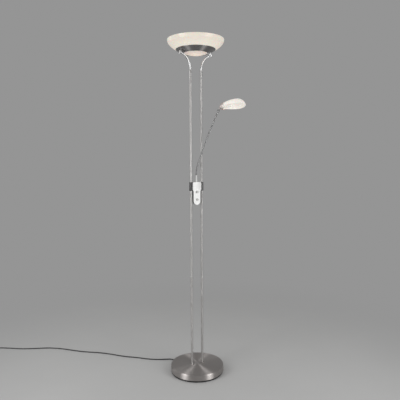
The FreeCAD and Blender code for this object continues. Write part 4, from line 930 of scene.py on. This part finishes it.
def make_bowl():
    # The knee's inner point lies the thickness of the glass away, at 45 degrees.
    step = BOWL_GLASS * math.sqrt(0.5)
    bowl = lathe(outline([
        (BOWL_FOOT_RADIUS, SEAT), (CUP_RADIUS, SEAT, 0, 1.0),
        (BOWL_KNEE_RADIUS, BOWL_KNEE, BOWL_LOWER_ARC),
        (BOWL_RADIUS, BOWL_TOP, BOWL_UPPER_ARC, 1.6), (BOWL_RADIUS - BOWL_GLASS, BOWL_TOP, 0, 1.6),
        (BOWL_KNEE_RADIUS - step, BOWL_KNEE + step, BOWL_GLASS - BOWL_UPPER_ARC),
        (BOWL_FOOT_RADIUS, SEAT + BOWL_FOOT_GLASS, BOWL_GLASS - BOWL_LOWER_ARC)], 3.0), 192)
    piece("opal_bowl", bowl, opal, "stand", replaces=["glass_bowl"], smooth=50)


def make_diffuser():
    bottom = CUP_BOTTOM - DOME_DROP
    rise = CUP_LEDGE - bottom
    inside = DOME_RADIUS - DOME_GLASS
    rim_top = CUP_LEDGE + DOME_GLASS
    dome = lathe(outline([
        (0, bottom), (DOME_RADIUS, CUP_LEDGE, arc_radius(rise, DOME_RADIUS)),
        (DOME_RIM, CUP_LEDGE, 0, 0.4), (DOME_RIM, rim_top, 0, 0.4), (inside, rim_top),
        (0, bottom + DOME_GLASS, -arc_radius(rise, inside))], 1.5), 128)
    piece("diffuser_dome", dome, warm_opal, "stand",
          replaces=["lower_diffuser"], smooth=40)


# ---- control box ----

BOX_BOTTOM = 932.0
BOX_HEIGHT = 122.0
BOX_HALF_WIDTH = 26.0
BOX_FOOT_RADIUS = 20.0
BOX_FLARE_START = 76
BOX_FLARE_END = 81
BOX_CORNER = 6
BOX_WALL = 2.5
BOX_FRONT = 8
BOX_SEAM = 4.5
BACK_SEAM = -5.5
BOX_BACK = -8
BOX_FRAME = shift(0, 0, BOX_BOTTOM) @ ALONG_FRONT
SHAFT_HOLE = 3.55
BUSH_HOLE = 4.65
BUSH_HOLE_START = 1049
SLEEVE_SEAT = 10.05
SLEEVE_RADIUS = 10.0
SLEEVE_BORE = 6.05
SLEEVE_BOTTOM = 1008.0
SLEEVE_TOP = 1054.0
SLEEVE_GROOVE = 1043.0
GROOVE_WIDTH = 2.4
KNOB_HEIGHTS = (("uplight", 1001), ("reading", 960))


def box_outline():
    """The box from the front, from its round foot to its wide top, in its own heights."""
    foot, half, top = BOX_FOOT_RADIUS, BOX_HALF_WIDTH, BOX_HEIGHT
    return outline([
        (-foot, foot), (0, 0, foot), (foot, foot, foot), (foot, BOX_FLARE_START, 0, 1.5),
        (half, BOX_FLARE_END, 0, 1.5), (half, top, 0, BOX_CORNER), (-half, top, 0, BOX_CORNER),
        (-half, BOX_FLARE_END, 0, 1.5), (-foot, BOX_FLARE_START, 0, 1.5)])


def sleeve_seats():
    """Tools for the round recesses that the pole sleeves sit in."""
    return [rod(SLEEVE_SEAT, 60, shift(POLE_PLACE * side, 0, 1000), 96) for name, side in SIDES]


def make_control_box():
    face = prism(box_outline(), BOX_SEAM + 0.1, BOX_FRONT, 1.4)
    face.transform(BOX_FRAME)
    shaft_holes = [rod(SHAFT_HOLE, 20, shift(0, 0, z) @ ALONG_FRONT) for name, z in KNOB_HEIGHTS]
    piece("box_face", combine(face, merged(sleeve_seats() + shaft_holes), "DIFFERENCE"),
          white_plastic, "stand", replaces=["control_housing"], smooth=30)
    shell = prism(box_outline(), BACK_SEAM, BOX_SEAM, 0.3)
    inside = BOX_FOOT_RADIUS - BOX_WALL
    ceiling = BOX_HEIGHT - BOX_WALL
    room = prism(outline([
        (-inside, BOX_FOOT_RADIUS), (0, BOX_WALL, inside), (inside, BOX_FOOT_RADIUS, inside),
        (inside, ceiling), (-inside, ceiling)]), BOX_BACK - 1, BOX_SEAM + 0.1)
    shell = combine(shell, room, "DIFFERENCE")
    shell.transform(BOX_FRAME)
    bush_hole = rod(BUSH_HOLE, 10, shift(0, 0, BUSH_HOLE_START))
    piece("box_body", combine(shell, merged(sleeve_seats() + [bush_hole]), "DIFFERENCE"),
          side_plastic, "stand", smooth=30)
    back = prism(box_outline(), BOX_BACK, BACK_SEAM - 0.1, 0.5)
    back.transform(BOX_FRAME)
    piece("box_back", combine(back, merged(sleeve_seats()), "DIFFERENCE"), side_plastic, "stand",
          replaces=["housing_cover"], smooth=30)


def make_sleeves():
    groove_top = SLEEVE_GROOVE + GROOVE_WIDTH
    for name, side in SIDES:
        sleeve = lathe(outline([
            (SLEEVE_BORE, SLEEVE_BOTTOM, 0, 0.2), (SLEEVE_RADIUS, SLEEVE_BOTTOM, 0, 1.0),
            (SLEEVE_RADIUS, SLEEVE_GROOVE, 0, 0.15), (SLEEVE_RADIUS - 1, SLEEVE_GROOVE),
            (SLEEVE_RADIUS - 1, groove_top), (SLEEVE_RADIUS, groove_top, 0, 0.15),
            (SLEEVE_RADIUS, SLEEVE_TOP, 0, 1.0), (SLEEVE_BORE, SLEEVE_TOP, 0, 0.2)]), 64)
        sleeve.transform(shift(POLE_PLACE * side, 0, 0))
        piece(name + "_sleeve", sleeve, sleeve_nickel, "stand",
              replaces=[name + "_pole_clamp"], smooth=40)


KNOB_BACK = 8.7
KNOB_RADIUS = 5.55
KNOB_BORE = 2
KNOB_RIBS = 24
KNOB_RIB_DEPTH = 0.22
KNOB_RIB_START = 9.4
KNOB_RIB_END = 14.4
MARK_HALF_WIDTH = 0.3
MARK_START = 1.2
MARK_END = 4.3


def grip(radius, height, angle):
    """Depth of the grip's grooves at a place on the knob."""
    if radius < KNOB_RADIUS or not KNOB_RIB_START < height < KNOB_RIB_END:
        return 0
    return -KNOB_RIB_DEPTH * (0.5 + 0.5 * math.cos(angle * KNOB_RIBS)) ** 2


def make_knobs():
    for name, height in KNOB_HEIGHTS:
        side = [(KNOB_RADIUS, 9.0 + 0.4 * k) for k in range(16)]
        rows = [(KNOB_BORE, KNOB_BACK), (5.3, KNOB_BACK), (5.5, 8.85)] + side + [
            (5.35, 15.2), (5.0, 15.5), (4.4, 15.68), (3.6, 15.62), (0, 15.55), (0, 13.2),
            (KNOB_BORE, 13.2)]
        knob = lathe(rows, 192, grip)
        frame_out = shift(0, 0, height) @ ALONG_FRONT
        piece(name + "_grip_knob", knob, knob_plastic, name + "_knob_set", frame_out,
              [name + "_knob"], 40)
        half = MARK_HALF_WIDTH
        mark = prism(outline([
            (-half, MARK_START, 0, 0.15), (half, MARK_START, 0, 0.15), (half, MARK_END, 0, 0.15),
            (-half, MARK_END, 0, 0.15)]), 15.4, 15.72)
        piece(name + "_knob_mark", mark, mark_paint, name + "_knob_set", frame_out)


# ---- flexible arm ----

ARM_TURN = spin(-40, "Z")
NECK_START = 1091.0
FIRST_ARC = 190.0
FIRST_TURN = math.radians(18)
FIRST_LENGTH = FIRST_ARC * FIRST_TURN
SECOND_LENGTH = 296.0
SECOND_TURN = math.radians(7)
SECOND_ARC = SECOND_LENGTH / SECOND_TURN
NECK_LENGTH = FIRST_LENGTH + SECOND_LENGTH
NECK_RIBS = 148
NECK_RADIUS = 4.1
NECK_VALLEY = 3.5
# Share of a rib's pitch, and the neck's radius there.
RIB_SHAPE = ((0, NECK_VALLEY), (0.14, 3.85), (0.3, NECK_RADIUS), (0.5, NECK_RADIUS),
             (0.66, 3.85), (0.8, NECK_VALLEY))
FERRULE_FOOT = 1043.95
FERRULE_SEAT = 1055.55
FERRULE_BORE = 1.6


def neck_frame(distance):
    """Frame on the arm's centre line, +Z along it, in the arm's own upright plane."""
    if distance <= FIRST_LENGTH:
        lean = distance / FIRST_ARC
        across = FIRST_ARC * (1 - math.cos(lean))
        up = FIRST_ARC * math.sin(lean)
    else:
        lean = FIRST_TURN + (distance - FIRST_LENGTH) / SECOND_ARC
        across = FIRST_ARC * (1 - math.cos(FIRST_TURN)) \
            + SECOND_ARC * (math.cos(FIRST_TURN) - math.cos(lean))
        up = FIRST_ARC * math.sin(FIRST_TURN) \
            + SECOND_ARC * (math.sin(lean) - math.sin(FIRST_TURN))
    return shift(across, 0, NECK_START + up) @ spin(math.degrees(lean), "Y")


def make_arm():
    ferrule = lathe(outline([
        (FERRULE_BORE, FERRULE_FOOT), (3.2, FERRULE_FOOT, 0, 0.4), (3.2, FERRULE_SEAT),
        (5.5, FERRULE_SEAT, 0, 0.6), (5.3, 1061, 0, 0.3), (NECK_RADIUS, NECK_START, 0, 0.5),
        (FERRULE_BORE, NECK_START)]), 64)
    piece("foot_ferrule", ferrule, light_grey, "arm", ARM_TURN,
          ["arm_ferrule"], 30)
    pitch = NECK_LENGTH / NECK_RIBS
    frames, radii = [], []
    for rib in range(NECK_RIBS):
        for share, radius in RIB_SHAPE:
            frames.append(neck_frame((rib + share) * pitch))
            radii.append(radius)
    frames.append(neck_frame(NECK_LENGTH))
    radii.append(NECK_VALLEY)
    hose = sweep(frames, radii, 28)
    neck = piece("ribbed_neck", hose, rib_metal, None, ARM_TURN, ["gooseneck"], 60)
    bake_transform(neck)


# ---- reading head ----

HEAD_ROLL = -20
HEAD_SLOPE = -3.7
PIVOT_DISTANCE = 10
HEAD_OFFSET = Vector((4, 0, 14))
SCOOP_START = 17.0
SCOOP_START_RADIUS = 18.3
SCOOP_CREST = 94.0
SCOOP_CREST_RADIUS = 37.0
SCOOP_TIP = 139.0
SCOOP_NOSE = 18.0
SCOOP_GLASS = 3.0
SCOOP_CUT = -1
CAP_LENGTH = 24.0
CAP_TIP = 5.0
CAP_MOUTH = 24.0
CAP_ARC = 32.0
CAP_WALL = 1.2
CAP_BORE = 15.8
CAP_BACK = 9.0
CAP_CUT = -7
EAR_RADIUS = 5.35
EAR_HALF_WIDTH = 2.6


def head_frame():
    """Frames of the reading head's cap and of its pivot, +X from the cap towards the tip."""
    pivot = neck_frame(NECK_LENGTH) @ Vector((0, 0, PIVOT_DISTANCE))
    start = pivot + HEAD_OFFSET
    return ARM_TURN @ shift(*start) @ spin(HEAD_SLOPE, "Y"), ARM_TURN @ shift(*pivot)


def scoop_outline():
    """Half of the scoop's length cut: a long back arc to the crest, a front arc and a nose."""
    crest, middle, nose, wall = SCOOP_CREST_RADIUS, SCOOP_CREST, SCOOP_NOSE, SCOOP_GLASS
    back_arc = arc_radius(crest - SCOOP_START_RADIUS, middle - SCOOP_START)
    centre = SCOOP_TIP - nose
    run = centre - middle
    front_arc = (crest ** 2 + run ** 2 - nose ** 2) / (2 * (crest - nose))
    share = nose / (front_arc - nose)
    meet = Vector(((front_arc - crest) * share, centre + run * share))
    inner = Vector((meet.x * (nose - wall) / nose, centre + run * share * (nose - wall) / nose))
    return outline([
        (SCOOP_START_RADIUS - wall, SCOOP_START, -back_arc), (SCOOP_START_RADIUS, SCOOP_START),
        (crest, middle, back_arc), (*meet, front_arc), (0, SCOOP_TIP, nose),
        (0, SCOOP_TIP - wall), (*inner, wall - nose), (crest - wall, middle, wall - front_arc)],
        3.0)


def make_reading_head():
    upright, pivot = head_frame()
    rolled = upright @ spin(HEAD_ROLL, "X")
    along = rolled @ ALONG_X
    scoop = lathe(scoop_outline(), 160)
    scoop.transform(along)
    scoop = trim_below(scoop, rolled, SCOOP_CUT, 0.9)
    piece("opal_scoop", scoop, shade_opal, "reading_head",
          replaces=["reading_shade"], smooth=50)
    bell = lathe(outline([
        (0, 0), (CAP_TIP, 0, 0, 0.8), (CAP_MOUTH, CAP_LENGTH, CAP_ARC, 0.4),
        (CAP_MOUTH - CAP_WALL, CAP_LENGTH, 0, 0.4), (CAP_MOUTH - CAP_WALL, 21.8),
        (18.5, SCOOP_START), (CAP_BORE, SCOOP_START), (CAP_BORE, CAP_BACK), (0, CAP_BACK)],
        4.0), 96)
    bell.transform(along)
    bell = trim_below(bell, rolled, CAP_CUT, 0.3)
    ear = upright.inverted() @ pivot.translation
    slant = EAR_RADIUS * math.sqrt(0.5)
    plate = prism(outline([
        (ear.x - slant, ear.z + slant), (ear.x - slant, ear.z - slant, EAR_RADIUS),
        (ear.x + slant, ear.z - slant, EAR_RADIUS), (2, CAP_CUT), (2, -1.6)][::-1]),
        -EAR_HALF_WIDTH, EAR_HALF_WIDTH, 0.6)
    plate.transform(upright @ ALONG_FRONT)
    piece("head_cap", combine(bell, plate, "UNION"), warm_lit_cap_metal, "reading_head",
          replaces=["shade_holder"], smooth=40)


# ---- carried-over parts ----

CAD_LOOKS = {
    felt_grey: ["floor_pad"],
    iron: ["base_weight"],
    zinc: ["pan_screws", "pole_nuts", "cover_spacers", "left_stud", "right_stud", "stud_nuts",
           "diffuser_ring", "lamp_bracket", "cover_screws", "clamp_screws", "uplight_shaft",
           "reading_shaft", "arm_clip", "knuckle_pin"],
    steatite: ["left_lampholder", "right_lampholder", "reading_lampholder"],
    quartz: ["tube_lamp", "capsule_lamp"],
    black_plastic: ["uplight_dimmer", "reading_dimmer"],
    board_plastic: ["dimmer_board"],
    grey_plastic: ["arm_bush"],
    wire_plastic: ["mains_wire", "uplight_wire", "terminal_block"],
    cord_plastic: ["base_lead"],
    chrome: ["knuckle_fork"],
}


def dress_cad_nodes():
    for material, names in CAD_LOOKS.items():
        for name in names:
            obj = nodes[name]
            if not obj.material_slots:
                obj.data.materials.append(material)
            for slot in obj.material_slots:
                slot.material = material


# ---- stage ----

# Places, sizes and distances of the stage are in metres.
LIGHT_TARGET = (0, 0, 1.0)
FADE_START = 0.6
FADE_END = 2.0
FLOOR_RADIUS = 40

FLOOR = (0.52, 0.52, 0.515)
BACKDROP = (0.30, 0.30, 0.30)
SURROUNDINGS = (0.38, 0.38, 0.38)


def area_light(name, place, size, energy):
    data = bpy.data.lights.new(name, "AREA")
    data.shape = "RECTANGLE"
    data.size, data.size_y = size
    data.energy = energy
    light = add_object(name, data)
    light.location = place
    light.rotation_mode = "QUATERNION"
    towards = Vector(LIGHT_TARGET) - Vector(place)
    light.rotation_quaternion = towards.to_track_quat("-Z", "Y")


def make_floor():
    """A plain floor that keeps the shadows near the lamp and fades into the backdrop's colour."""
    disc = bmesh.new()
    bmesh.ops.create_circle(disc, cap_ends=True, segments=96, radius=FLOOR_RADIUS)
    data = bpy.data.meshes.new("floor")
    disc.to_mesh(data)
    disc.free()
    look = Look("floor", FLOOR, 0.65)
    reach = look.node("ShaderNodeVectorMath", {0: look.coordinates()}, operation="LENGTH")
    share = look.node("ShaderNodeMapRange", {
        "Value": reach.outputs["Value"], "From Min": FADE_START, "From Max": FADE_END},
        interpolation_type="SMOOTHSTEP").outputs["Result"]
    glow = look.node("ShaderNodeEmission", {"Color": (*BACKDROP, 1)})
    look.tint(look.noise(3), FLOOR, 0.985, 1.015)
    blend = look.node("ShaderNodeMixShader", {
        0: share, 1: look.shader.outputs["BSDF"], 2: glow.outputs["Emission"]})
    look.tree.links.new(blend.outputs["Shader"],
                        look.tree.nodes["Material Output"].inputs["Surface"])
    data.materials.append(look.material)
    add_object("floor", data)


def make_world():
    """The backdrop's colour where it is seen or mirrored, and a lighter one for the soft light."""
    world = bpy.data.worlds.new("world")
    bpy.context.scene.world = world
    world.use_nodes = True
    tree = world.node_tree
    path = tree.nodes.new("ShaderNodeLightPath")
    seen = path.outputs["Is Camera Ray"]
    for ray in ("Is Glossy Ray", "Is Transmission Ray"):
        largest = tree.nodes.new("ShaderNodeMath")
        largest.operation = "MAXIMUM"
        tree.links.new(seen, largest.inputs[0])
        tree.links.new(path.outputs[ray], largest.inputs[1])
        seen = largest.outputs[0]
    color = mix_colors(tree, seen, SURROUNDINGS, BACKDROP)
    tree.links.new(color, tree.nodes["Background"].inputs["Color"])


def make_stage():
    make_floor()
    make_world()
    area_light("left_strip", (-2.2, -0.3, 1.3), (0.9, 2.3), 28)
    area_light("right_strip", (0.95, -2.0, 1.3), (0.9, 2.3), 28)
    area_light("back", (-1.3, 1.9, 1.8), (0.6, 2.0), 4)


make_base()
make_poles()
make_rods()
make_cup()
make_bowl()
make_diffuser()
make_control_box()
make_sleeves()
make_knobs()
make_arm()
make_reading_head()
dress_cad_nodes()
make_stage()

bpy.context.scene.view_settings.view_transform = "Standard"
